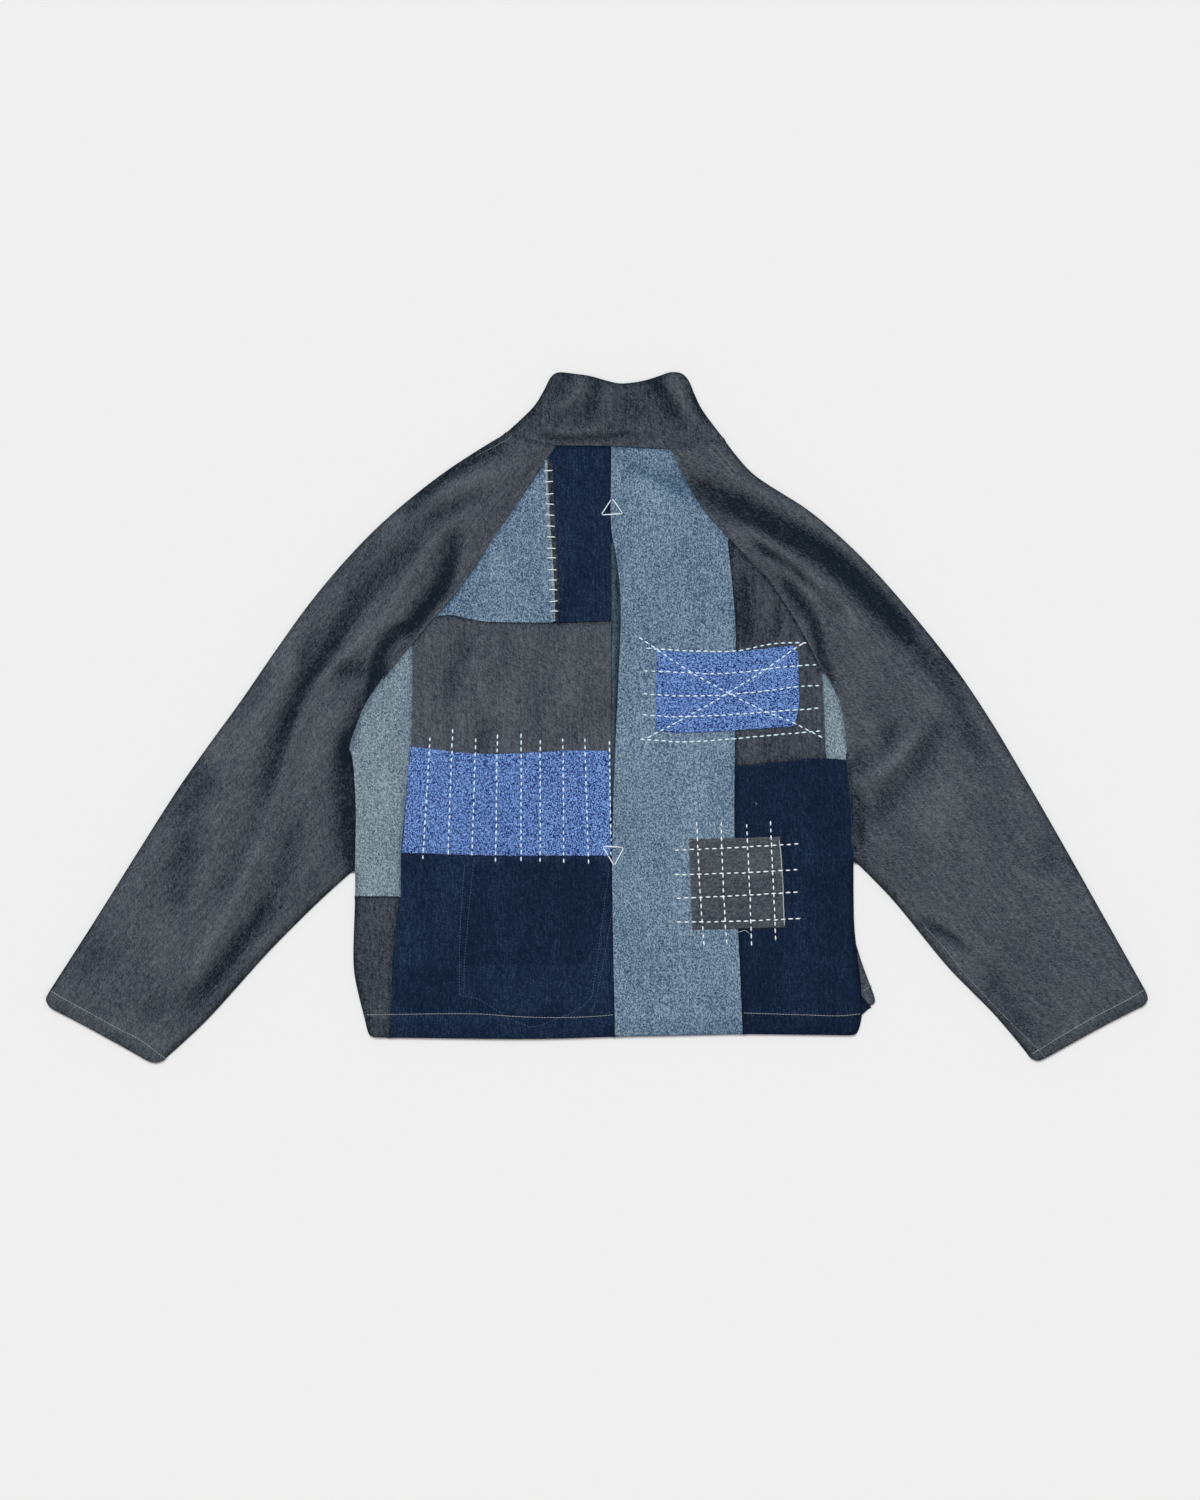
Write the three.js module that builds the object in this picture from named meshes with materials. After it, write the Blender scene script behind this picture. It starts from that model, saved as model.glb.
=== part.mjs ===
// A patched boro jacket, laid flat on its front with its back up.
// Millimetres, +Z up, +Y towards the collar, -X is the wearer's left. The origin is in the middle of
// the jacket's length and width, on the surface that it lies on.
// Each piece that is cut and sewn on is one closed cloth wall with its own name.
import * as THREE from 'three';

// ---- Driving dimensions ----
const wall = 2.0; // one layer of worn, much stitched denim
const patchWall = 1.4; // the thinner cloth of the patches
const gap = 0.3; // clearance between neighbouring pieces
const plateau = 2.3; // how far the back lifts off the front, away from the outline
const roll = 40; // width over which the back curves down to the outline
const mesh = 40; // longest side of a facet on a panel
const centreX = 15; // the back's centre pleat and the fronts' edges
const frontHemY = -344; // the fronts end a little higher, so they stay hidden

const layTop = wall; // top of the lower layer, which lies on the surface
const edgeTop = layTop + gap + wall; // top of the upper layer at the outline

// ---- Lines of points ----
const point = ([x, y]) => new THREE.Vector2(x, y);
const line = (...places) => places.map(point);

// A rounded line through its places, with `steps` straight pieces between two of them.
function spline(places, steps = 2) {
  return new THREE.SplineCurve(places.map(point)).getPoints(steps * (places.length - 1));
}

const backwards = (points) => [...points].reverse();

// Joins lines end to end and leaves out the doubled points.
function join(...lines) {
  const joined = [];
  for (const next of lines.flat()) {
    const last = joined[joined.length - 1];
    if (!last || last.distanceTo(next) > 0.01) joined.push(next);
  }
  return joined;
}

// The stretch of a line between two of its places, in that direction.
function between(points, start, end) {
  const nearest = (place) => {
    const distances = points.map((p) => p.distanceTo(point(place)));
    return distances.indexOf(Math.min(...distances));
  };
  const from = nearest(start);
  const to = nearest(end);
  return from <= to ? points.slice(from, to + 1) : backwards(points.slice(to, from + 1));
}

// ---- Corners that several pieces share ----
const neckLeft = [-45, 299];
const neckRight = [81, 295];
const collarLeft = [-101, 313];
const collarRight = [139, 307];
const armholeLeft = [-270, -32];
const armholeRight = [276, -47];
const underarmLeft = [-267, -167];
const underarmRight = [282, -157];
const cuffOuterLeft = [-608, -310];
const cuffOuterRight = [607.5, -310];
const cuffInnerLeft = [-474, -374];
const cuffInnerRight = [479, -377];
const hemLeft = [-252, -352];
const hemStrip = [-228, -352.5];
const hemPleat = [19, -351.5];
const hemLight = [160, -348.5];
const hemRight = [286, -350];
const frontNeck = [centreX, 235];
const frontCollarTop = [centreX, 308];

// ---- Edges and seams of the upper layer ----
const collarSeam = spline([
  collarLeft, [-71, 303], neckLeft, [centreX, 298], neckRight, [110, 298], collarRight]);
const collarSideLeft = spline([collarLeft, [-69, 344], [-52, 374], [-45, 381]]);
const collarSideRight = spline([collarRight, [114, 341], [101, 370], [93, 380]]);
const collarTop = spline([[-45, 381], [-8, 376], [24, 368], [55, 372], [79, 380], [93, 380]]);

const outerLeft = spline([
  collarLeft, [-166, 272], [-244, 208], [-317, 126], [-393, 18], [-461, -77], [-552, -221], [-602, -299],
  cuffOuterLeft]);
const outerRight = spline([
  collarRight, [172, 268], [232, 228.5], [303, 164], [396, 52], [467, -60], [553.5, -212], [603, -300],
  cuffOuterRight]);
const cuffLeft = spline([
  cuffOuterLeft, [-603, -319], [-573, -335], [-511, -369], [-487, -381.2], cuffInnerLeft]);
const cuffRight = spline([
  cuffOuterRight, [601, -317], [558, -339], [493, -375], [485, -379], cuffInnerRight]);
const underLeft = spline([underarmLeft, [-305, -201], [-363, -259], [-428, -331], cuffInnerLeft]);
const underRight = spline([underarmRight, [326, -202], [385, -274], [435, -325], cuffInnerRight]);

const raglanLeft = spline([
  neckLeft, [-55, 284], [-65, 270], [-150, 144], [-179, 110], [-203, 81], [-221, 60], [-254, 12],
  armholeLeft]);
const raglanRight = spline([
  neckRight, [110, 238], [143, 199], [196, 139], [228, 88], [246, 52], [253, 43], [268, 12],
  armholeRight]);
const sideLeft = spline([
  armholeLeft, [-266, -100], underarmLeft, [-267, -197], [-269, -262], [-266, -293], [-257, -330], hemLeft]);
const sideRight = spline([
  armholeRight, [281, -100], underarmRight, [283, -230], [290, -290], [291.5, -326], hemRight]);

const lightSeam = line([-48, 104], [-55, 284]);
const wavySeam = spline([[-179, 110], [-159, 112], [-123, 105], [-48, 104]]);
const navyTopSeam = line([-48, 104], [centreX, 106]);
const sideSeamLeft = line(
  hemStrip, [-222, -234], [-217, -197], [-216, -149], [-211, -95], [-205, -30], [-203, 81]);
const bandSeam = line([-211, -95], [centreX, -95]);
const sideStripSeam = line([-267, -197], [-217, -197]);
const pleatLeft = line(
  hemPleat, [16, -150], [centreX, -95], [centreX, 106], [centreX, 206], [centreX, 298]);
const pleatOpening = spline([[16, -150], [20, -20], [25.5, 108], [22, 165], [centreX, 206]]);
const pleatRight = join(line(hemPleat, [16, -150]), pleatOpening, line([centreX, 206], [centreX, 298]));
const lightSeamRight = line(
  hemLight, [155, -230], [151, -133], [151, -54], [152, 19], [152, 101], [149, 140], [143, 199]);
const yokeSeamRight = line([151, -54], [251, -45], armholeRight);
const wedgeSeam = line([251, -45], [248, 27], [246, 52]);
const hem = line(hemLeft, hemStrip, [-68, -354], hemPleat, hemLight, hemRight);

// ---- Edges of the lower layer, hidden but for one corner ----
const frontNeckLeft = spline([collarLeft, [-72, 284], [-40, 255], frontNeck]);
const frontNeckRight = spline([collarRight, [108, 278], [72, 252], frontNeck]);
const frontRaglanLeft = spline([[-40, 255], [-150, 118], [-225, 36], armholeLeft]);
const frontRaglanRight = spline([[72, 252], [165, 118], [235, 36], armholeRight]);
const swungCorner = spline([[285, -245], [293, -271], [302, -295], [309, -314]]);
const swungHem = line([309, -314], [302, -319.5], [291, -329], [272, frontHemY]);
const frontStripSeam = spline([[302, -319.5], [291, -307], [262, -262], [242, -150], [238, -46]]);

// ---- The largest folds: soft ridges (up) and troughs (down) along lines on the cloth ----
const sharedFolds = [
  { path: [[-165, 190], [-330, 10], [-480, -200], [-535, -320]], width: 55, height: 1.6 },
  { path: [[170, 190], [330, 20], [480, -190], [535, -320]], width: 55, height: 1.6 },
  { path: [[-160, 140], [-205, 116], [-240, 88], [-256, 60]], width: 13, height: 4.5 },
  { path: [[-190, 108], [-214, 90], [-231, 66]], width: 10, height: -2.5 },
  { path: [[-329, 19], [-366, -70], [-385, -104]], width: 17, height: -3.5 },
  { path: [[-345, -154], [-379, -231], [-440, -308]], width: 17, height: -3.2 },
  { path: [[-440, -104], [-449, -141]], width: 15, height: -3 },
  { path: [[-398, -42], [-475, -119]], width: 18, height: 4 },
  { path: [[-335, -89], [-366, -154], [-397, -228], [-443, -274]], width: 18, height: 4 },
  { path: [[171, 232], [247, 179], [333, 106]], width: 14, height: -3 },
  { path: [[196, 200], [262, 148], [318, 92]], width: 18, height: 3.5 },
  { path: [[196, 159], [232, 98], [247, 63]], width: 10, height: -2 },
  { path: [[373, -21], [330, -73], [305, -95]], width: 28, height: -3 },
  { path: [[398, -60], [372, -110], [330, -140]], width: 26, height: 3.5 },
  { path: [[354, -225], [398, -252]], width: 11, height: -2 },
  { path: [[60, 368], [69, 352], [88, 326]], width: 12, height: -1.8 },
];
const underarmTroughs = [
  { path: [[-268, -60], underarmLeft], width: 20, height: -4.2 },
  { path: [[278, -75], underarmRight], width: 20, height: -4.2 },
];

// ---- The form of the upper layer ----
const silhouette = join(
  collarSideLeft, collarTop, backwards(collarSideRight), outerRight, cuffRight, backwards(underRight),
  between(sideRight, underarmRight, hemRight), backwards(hem), between(sideLeft, hemLeft, underarmLeft),
  underLeft, backwards(cuffLeft), backwards(outerLeft));

function distanceToLine(x, y, points) {
  let nearest = Infinity;
  for (let i = 1; i < points.length; i += 1) {
    const a = points[i - 1];
    const b = points[i];
    const alongX = b.x - a.x;
    const alongY = b.y - a.y;
    const share = ((x - a.x) * alongX + (y - a.y) * alongY) / (alongX ** 2 + alongY ** 2);
    const t = Math.min(Math.max(share, 0), 1);
    nearest = Math.min(nearest, Math.hypot(x - a.x - t * alongX, y - a.y - t * alongY));
  }
  return nearest;
}

const foldLines = new Map([...sharedFolds, ...underarmTroughs].map((fold) => [fold, line(...fold.path)]));

// Height of the cloth's upper face: level inside, curved down at the outline, with its folds.
function surfaceHeight(x, y, folds) {
  const inward = Math.min(distanceToLine(x, y, silhouette) / roll, 1);
  const lift = 1 - (1 - inward) ** 2;
  let height = edgeTop + plateau * lift;
  for (const fold of folds) {
    const reach = distanceToLine(x, y, foldLines.get(fold)) / fold.width;
    if (reach < 3) height += lift * fold.height * Math.exp(-(reach ** 2));
  }
  return Math.max(height, edgeTop);
}

const bodyHeight = (x, y) => surfaceHeight(x, y, sharedFolds);
const sleeveHeight = (x, y) => surfaceHeight(x, y, [...sharedFolds, ...underarmTroughs]);

// ---- Panels: a grid stretched between four edges ----
function shares(points) {
  const lengths = [0];
  for (let i = 1; i < points.length; i += 1) {
    lengths.push(lengths[i - 1] + points[i].distanceTo(points[i - 1]));
  }
  return lengths.map((length) => length / lengths[lengths.length - 1]);
}

function pointAt(points, share) {
  const marks = shares(points);
  const next = Math.max(1, marks.findIndex((mark) => mark >= share - 1e-9));
  const t = (share - marks[next - 1]) / (marks[next] - marks[next - 1]);
  return points[next - 1].clone().lerp(points[next], t);
}

// How many cells an edge needs: a whole number on each of its straight pieces, none longer than `mesh`.
function cellsAlong(points) {
  return points.slice(1).map((p, i) => Math.ceil(p.distanceTo(points[i]) / mesh));
}

const total = (numbers) => numbers.reduce((sum, number) => sum + number, 0);

// Spreads cells + 1 points along an edge, with one on each of its corners.
function spread(points, cells) {
  const counts = cellsAlong(points);
  const size = (i) => points[i + 1].distanceTo(points[i]) / counts[i];
  for (let spare = cells - total(counts); spare > 0; spare -= 1) {
    const sizes = counts.map((count, i) => size(i));
    counts[sizes.indexOf(Math.max(...sizes))] += 1;
  }
  const found = [points[0]];
  counts.forEach((count, i) => {
    for (let step = 1; step <= count; step += 1) {
      found.push(points[i].clone().lerp(points[i + 1], step / count));
    }
  });
  return found;
}

// A blend of the four edges. bottom and top run towards +X; left and right run towards +Y.
function stretchedGrid(edges) {
  const cellsBetween = (...pair) => Math.max(...pair.map((edge) => total(cellsAlong(edge))));
  const columns = cellsBetween(edges.bottom, edges.top);
  const rows = cellsBetween(edges.left, edges.right);
  const bottom = spread(edges.bottom, columns);
  const top = spread(edges.top, columns);
  const left = spread(edges.left, rows);
  const right = spread(edges.right, rows);
  return left.map((leftPoint, r) => bottom.map((bottomPoint, c) => {
    const v = r / rows;
    const u = c / columns;
    const p = bottomPoint.clone().multiplyScalar(1 - v).addScaledVector(top[c], v);
    p.addScaledVector(leftPoint, 1 - u).addScaledVector(right[r], u);
    p.addScaledVector(bottom[0], -(1 - u) * (1 - v)).addScaledVector(bottom[columns], -u * (1 - v));
    return p.addScaledVector(top[0], -(1 - u) * v).addScaledVector(top[columns], -u * v);
  }));
}

// Moves a closed outline inwards, so that its neighbour across the seam stays clear.
function inset(outline, distance) {
  const turn = Math.sign(THREE.ShapeUtils.area(outline));
  const inward = (a, b) => new THREE.Vector2(a.y - b.y, b.x - a.x).normalize().multiplyScalar(turn);
  return outline.map((p, i) => {
    const before = inward(outline.at(i - 1), p);
    const after = inward(p, outline[(i + 1) % outline.length]);
    const mitre = before.clone().add(after).divideScalar(1 + before.dot(after));
    return p.clone().addScaledVector(mitre, distance);
  });
}

// The grid's places in order round its edge, as [row, column].
function rim(rows, columns) {
  const places = [];
  for (let c = 0; c < columns - 1; c += 1) places.push([0, c]);
  for (let r = 0; r < rows - 1; r += 1) places.push([r, columns - 1]);
  for (let c = columns - 1; c > 0; c -= 1) places.push([rows - 1, c]);
  for (let r = rows - 1; r > 0; r -= 1) places.push([r, 0]);
  return places;
}

// A closed wall between two grids of the same make: `outer`, seen from outside, and `inner` behind it.
function wallBetween(outer, inner) {
  const rows = outer.length;
  const columns = outer[0].length;
  const corners = [...outer.flat(), ...inner.flat()];
  const outside = ([r, c]) => r * columns + c;
  const inside = (place) => rows * columns + outside(place);
  const faces = [];
  for (let r = 1; r < rows; r += 1) {
    for (let c = 1; c < columns; c += 1) {
      const cell = [[r - 1, c - 1], [r - 1, c], [r, c], [r, c - 1]];
      const [a, b, d, e] = cell.map(outside);
      const [f, g, h, i] = cell.map(inside);
      faces.push(a, b, d, a, d, e, f, h, g, f, i, h);
    }
  }
  const round = rim(rows, columns);
  round.forEach((place, i) => {
    const next = round[(i + 1) % round.length];
    faces.push(outside(place), inside(place), inside(next), outside(place), inside(next), outside(next));
  });
  const geometry = new THREE.BufferGeometry();
  const flat = corners.flatMap((p) => [p.x, p.y, p.z]);
  geometry.setAttribute('position', new THREE.Float32BufferAttribute(flat, 3));
  geometry.setIndex(faces);
  geometry.computeVertexNormals();
  return geometry;
}

// A panel of the upper layer, `raised` above the cloth's own height where it is a patch on it.
function panel(edges, height = bodyHeight, thickness = wall, raised = 0) {
  const grid = stretchedGrid(edges);
  const places = rim(grid.length, grid[0].length);
  const clear = inset(places.map(([r, c]) => grid[r][c]), gap / 2);
  places.forEach(([r, c], i) => { grid[r][c] = clear[i]; });
  const lifted = (drop) => grid.map((row) => row.map(
    (p) => new THREE.Vector3(p.x, p.y, height(p.x, p.y) + raised - drop)));
  return wallBetween(lifted(0), lifted(thickness));
}

// A patch sewn on top of the level part of the back.
const patch = (edges) => panel(edges, bodyHeight, patchWall, gap + patchWall);

// A piece of the lower layer: flat on the surface.
function flatPiece(...edges) {
  const outline = join(...edges);
  if (outline[0].distanceTo(outline.at(-1)) < 0.01) outline.pop();
  const shape = new THREE.Shape(inset(outline, gap / 2));
  return new THREE.ExtrudeGeometry(shape, { depth: wall, bevelEnabled: false, steps: 1 });
}

// ---- Collar: one strip, from the wearer's left front edge round the back to the right one ----
function collarUnder(row, foldColumn, towards) {
  return row.map((p, c) => ({
    outer: new THREE.Vector3(p.x, p.y, 0),
    inner: new THREE.Vector3(p.x + (c === foldColumn ? towards * wall : 0), p.y, layTop),
  }));
}

function collarOver(row) {
  return row.map((p, c) => {
    const height = bodyHeight(p.x, p.y);
    const foldShift = wall * ((c === 0) - (c === row.length - 1));
    return {
      outer: new THREE.Vector3(p.x, p.y, height),
      inner: new THREE.Vector3(p.x + foldShift, p.y, height - wall),
    };
  });
}

function collar() {
  const [sideTopLeft, sideTopRight] = [collarSideLeft.at(-1), collarSideRight.at(-1)];
  const frontEdge = line(frontNeck, frontCollarTop);
  const clearOfMiddle = (side) => frontEdge.map((p) => new THREE.Vector2(p.x + (side * gap) / 2, p.y));
  const grids = [
    { bottom: backwards(frontNeckLeft), top: [frontEdge[1], sideTopLeft], right: collarSideLeft },
    { bottom: collarSeam, top: collarTop, left: collarSideLeft, right: collarSideRight },
    { bottom: frontNeckRight, top: [sideTopRight, frontEdge[1]], left: collarSideRight },
  ].map((edges) => stretchedGrid({ left: clearOfMiddle(-1), right: clearOfMiddle(1), ...edges }));
  grids.forEach((grid) => grid[0].forEach((p) => { p.y += gap / 2; }));
  const [leftFront, back, rightFront] = grids;
  const sections = back.map((row, r) => [
    ...collarUnder(leftFront[r], leftFront[r].length - 1, 1),
    ...collarOver(row),
    ...collarUnder(rightFront[r], 0, -1),
  ]);
  const side = (name) => sections.map((row) => row.map((p) => p[name]));
  return wallBetween(side('outer'), side('inner'));
}

// ---- Cloths ----
const cloth = (color, roughness) => new THREE.MeshStandardMaterial({ color, roughness, metalness: 0 });
const charcoal = () => cloth(0x41474e, 0.92);
const navy = () => cloth(0x19273e, 0.95);
const lightBlue = () => cloth(0x677d91, 0.9);
const pale = () => cloth(0x8191a0, 0.9);
const brightBlue = () => cloth(0x5b79ab, 0.88);

// ---- The jacket ----
const jacket = new THREE.Group();

function sew(name, geometry, material) {
  const piece = new THREE.Mesh(geometry, material);
  piece.name = name;
  jacket.add(piece);
}

function backLeft() {
  sew('back_left_light', panel({
    bottom: wavySeam,
    top: between(raglanLeft, [-65, 270], [-55, 284]),
    left: between(raglanLeft, [-179, 110], [-65, 270]),
    right: lightSeam,
  }), lightBlue());
  sew('back_left_navy_strip', panel({
    bottom: navyTopSeam,
    top: between(collarSeam, neckLeft, [centreX, 298]),
    left: join(lightSeam, between(raglanLeft, [-55, 284], neckLeft)),
    right: between(pleatLeft, [centreX, 106], [centreX, 298]),
  }), navy());
  sew('back_left_charcoal', panel({
    bottom: bandSeam,
    top: join(between(raglanLeft, [-203, 81], [-179, 110]), wavySeam, navyTopSeam),
    left: between(sideSeamLeft, [-211, -95], [-203, 81]),
    right: between(pleatLeft, [centreX, -95], [centreX, 106]),
  }), charcoal());
  sew('back_left_navy', panel({
    bottom: between(hem, hemStrip, hemPleat),
    top: bandSeam,
    left: between(sideSeamLeft, hemStrip, [-211, -95]),
    right: between(pleatLeft, hemPleat, [centreX, -95]),
  }), navy());
  sew('side_left_pale', panel({
    bottom: sideStripSeam,
    top: between(raglanLeft, [-221, 60], [-203, 81]),
    left: join(between(sideLeft, [-267, -197], armholeLeft), between(raglanLeft, armholeLeft, [-221, 60])),
    right: between(sideSeamLeft, [-217, -197], [-203, 81]),
  }), pale());
  sew('side_left_charcoal', panel({
    bottom: between(hem, hemLeft, hemStrip),
    top: sideStripSeam,
    left: between(sideLeft, hemLeft, [-267, -197]),
    right: between(sideSeamLeft, hemStrip, [-217, -197]),
  }), charcoal());
}

function backRight() {
  sew('back_right_light', panel({
    bottom: between(hem, hemPleat, hemLight),
    top: between(collarSeam, [centreX, 298], neckRight),
    left: pleatRight,
    right: join(lightSeamRight, between(raglanRight, [143, 199], neckRight)),
  }), lightBlue());
  sew('back_right_charcoal', panel({
    bottom: between(yokeSeamRight, [151, -54], [251, -45]),
    top: between(raglanRight, [143, 199], [246, 52]),
    left: between(lightSeamRight, [151, -54], [143, 199]),
    right: wedgeSeam,
  }), charcoal());
  sew('side_right_pale', panel({
    bottom: between(yokeSeamRight, [251, -45], armholeRight),
    top: between(raglanRight, [246, 52], [253, 43]),
    left: wedgeSeam,
    right: between(raglanRight, armholeRight, [253, 43]),
  }), pale());
  sew('back_right_navy', panel({
    bottom: between(hem, hemLight, hemRight),
    top: yokeSeamRight,
    left: between(lightSeamRight, hemLight, [151, -54]),
    right: between(sideRight, hemRight, armholeRight),
  }), navy());
}

// The fold of cloth behind the centre pleat's two lips.
function centrePleat() {
  const middle = centreX + 5;
  const reach = 33; // how far the strip runs on under each lip
  const [left, right] = [middle - reach, middle + reach];
  const [low, high] = [-300, 288];
  const strip = line([left, low], [right, low], [right, high], [left, high]);
  const geometry = flatPiece(strip);
  geometry.translate(0, 0, layTop + gap);
  sew('centre_pleat', geometry, charcoal());
}

function patches() {
  sew('patch_band', patch({
    bottom: line([-215, -149], [-110, -152], [15, -152]),
    top: line([-206, -32], [-125, -40], [-17, -36], [14, -37]),
    left: line([-215, -149], [-206, -32]),
    right: line([15, -152], [14, -37]),
  }), brightBlue());
  sew('patch_blue', patch({
    bottom: line([64, -15], [103, -17], [216, -10]),
    top: line([65, 74], [131, 71], [216, 79]),
    left: line([64, -15], [65, 74]),
    right: line([216, -10], [221, 5], [221, 70], [216, 79]),
  }), brightBlue());
  sew('patch_charcoal', patch({
    bottom: line([104, -233], [206, -231]),
    top: line([101, -134], [201, -131]),
    left: line([104, -233], [101, -134]),
    right: line([206, -231], [201, -131]),
  }), charcoal());
}

function sleeves() {
  sew('sleeve_left_back', panel({
    bottom: cuffLeft,
    top: join(raglanLeft, between(sideLeft, armholeLeft, underarmLeft)),
    left: join(backwards(outerLeft), between(collarSeam, collarLeft, neckLeft)),
    right: backwards(underLeft),
  }, sleeveHeight), charcoal());
  sew('sleeve_right_back', panel({
    bottom: backwards(cuffRight),
    top: join(between(sideRight, underarmRight, armholeRight), backwards(raglanRight)),
    left: backwards(underRight),
    right: join(backwards(outerRight), between(collarSeam, collarRight, neckRight)),
  }, sleeveHeight), charcoal());
  sew('sleeve_left_front', flatPiece(
    outerLeft, cuffLeft, backwards(underLeft), between(sideLeft, underarmLeft, armholeLeft),
    backwards(frontRaglanLeft), between(frontNeckLeft, [-40, 255], collarLeft)), charcoal());
  sew('sleeve_right_front', flatPiece(
    outerRight, cuffRight, backwards(underRight), between(sideRight, underarmRight, armholeRight),
    backwards(frontRaglanRight), between(frontNeckRight, [72, 252], collarRight)), charcoal());
}

function fronts() {
  const hidden = 1.5; // how far the fronts' side edges stay inside the back's
  const sideHiddenLeft = between(sideLeft, armholeLeft, [-257, -330]).map(
    (p, i) => point([p.x + hidden * Math.min(i, 1), p.y]));
  sew('front_left', flatPiece(
    frontRaglanLeft, sideHiddenLeft, line([-250, frontHemY], [centreX, frontHemY], frontNeck),
    between(frontNeckLeft, frontNeck, [-40, 255])), charcoal());
  const stripTop = pointAt(between(frontRaglanRight, [235, 36], armholeRight), 0.35);
  sew('front_right', flatPiece(
    between(frontRaglanRight, [72, 252], [235, 36]), [stripTop],
    backwards(frontStripSeam).slice(2), between(swungHem, [302, -319.5], [272, frontHemY]),
    line([centreX, frontHemY], frontNeck), between(frontNeckRight, frontNeck, [72, 252])), navy());
  sew('front_right_side', flatPiece(
    [stripTop], line(armholeRight),
    between(sideRight, armholeRight, [284, -230]).map((p, i) => point([p.x - hidden * Math.min(i, 1), p.y])),
    swungCorner, between(swungHem, [309, -314], [302, -319.5]), frontStripSeam.slice(0, -2)), charcoal());
}

backLeft();
backRight();
centrePleat();
patches();
sleeves();
sew('collar', collar(), charcoal());
fronts();

export default jacket;
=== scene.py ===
import functools
import math
import random

import bpy
import numpy as np
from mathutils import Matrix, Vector
from mathutils.bvhtree import BVHTree
from mathutils.geometry import delaunay_2d_cdt


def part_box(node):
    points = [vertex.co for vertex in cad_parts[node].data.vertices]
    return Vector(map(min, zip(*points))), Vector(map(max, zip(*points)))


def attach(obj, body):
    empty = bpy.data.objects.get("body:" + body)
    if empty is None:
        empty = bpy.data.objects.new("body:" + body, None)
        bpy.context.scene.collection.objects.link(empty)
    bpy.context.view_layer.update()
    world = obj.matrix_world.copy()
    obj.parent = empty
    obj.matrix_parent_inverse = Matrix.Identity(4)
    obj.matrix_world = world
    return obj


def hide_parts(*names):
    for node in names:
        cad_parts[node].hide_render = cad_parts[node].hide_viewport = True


# The looks of a patched boro jacket that is laid flat with its back up. Each piece of cloth is a thin
# shell on its CAD solid's outline, and its folds, seams, hems and stitches are meshes too.
# Flat shapes are worked out in millimetres, in the frame's X and Y, and meshes are made in metres.

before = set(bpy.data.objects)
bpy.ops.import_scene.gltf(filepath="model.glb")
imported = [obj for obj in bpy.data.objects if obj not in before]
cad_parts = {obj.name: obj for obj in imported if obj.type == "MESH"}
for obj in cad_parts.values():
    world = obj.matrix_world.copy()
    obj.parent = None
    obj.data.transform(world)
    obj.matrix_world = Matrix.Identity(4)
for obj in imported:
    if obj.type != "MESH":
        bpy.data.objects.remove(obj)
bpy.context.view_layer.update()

MM = 0.001
random.seed(7)

# ---- Driving sizes, in millimetres ----
CLOTH = 1.2  # thickness of one layer of denim
LOWER_TOP = 1.5  # upper face of the layer that lies on the surface
EDGE_TOP = 4.3  # upper face of the top layer at the jacket's outline
PLATEAU = 2.3  # how far the top layer lifts off the lower one, away from the outline
LOFT = 2.2  # how much higher the sleeves stand, because they are full of folds
ROLL = 40.0  # width over which the top layer curves down to the outline
FOLD_ROLL = 6.5  # width of the round edge where the top layer turns under
FOLD_FOOT = 0.3  # height at which that round edge ends
HEM_SINK = 1.7  # how far an open edge, a hem or a cuff, sinks towards the layer below
STRAIGHT = 0.004  # an outline that turns less than this, in radians, runs straight
SHARP = math.radians(24)  # where it turns more than this, it has a corner
WORN_CORNER = math.radians(35)  # free corners sharper than this are worn round, this far along
WORN_REACH = 9.0
STEP = 3.0  # space between the points along an outline
CELL = 3.0  # space between the points inside it
RINGS = (0.0, 0.35, 1.0, 2.2, 4.2, 7.2)  # rings of points along the outline, by distance inwards
FAR = 1e3
TOUCHING = 2.5  # outlines nearer than this to each other are sewn together
TUCK = 2.6  # how far the lower piece of a seam runs on under the upper one
SEAM_RISE = 0.6  # how far a seam's upper piece stands proud, its lower piece lies deep, and how wide
SEAM_DROP = 0.8
SEAM_REACH = 5.0
PUCKER = 0.3  # unevenness of the cloth beside a seam
HEM_DEPTH = 24.0  # turned-up hem of the body, and of the cuffs
CUFF_DEPTH = 16.0
HEM_BOW = 8.0  # how far the hem's edge, and a cuff's, bow away from a straight line
CUFF_BOW = 15.0
HEM_RISE = 0.7  # how far a turn-up lifts the cloth, and the groove and slope at its stitched end
HEM_GROOVE = 0.5
HEM_SLOPE = 1.6
EDGE_ROUND = 0.7  # how far a sewn edge rounds off, and over what width
EDGE_ROUND_WIDTH = 1.1
PATCH_TOP = 1.75  # upper face of a patch above the cloth that it lies on
PATCH_DRAW = 0.5  # how far a row of stitches draws it down

# ---- Wear, painted shade and painted highlights, added to a cloth's tone: below 0 is darker, above 0 is paler ----
LAP_WEAR_AND_HIGHLIGHT = 0.22  # painted highlight and wear on the edge of a piece that laps another
UNDER_SHADE = 0.75  # painted shadow on the piece under it, beside that edge
SLEEVE_UNDER_SHADE = 0.35
TURNED_SHADE = 0.65  # painted shade where the cloth turns under
HEM_SHADE = 0.45  # painted shade along a hem's or a cuff's edge
HEM_WORN = 0.12  # the stitched end of its turn-up
POCKET_SHADE = 0.2  # the cloth that the unpicked pocket kept from fading
ROW_SHADE = 0.22  # painted shade along a row of stitches on a patch, where the row draws it down
RAW_WORN = 0.25  # a patch's raw edge

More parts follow.
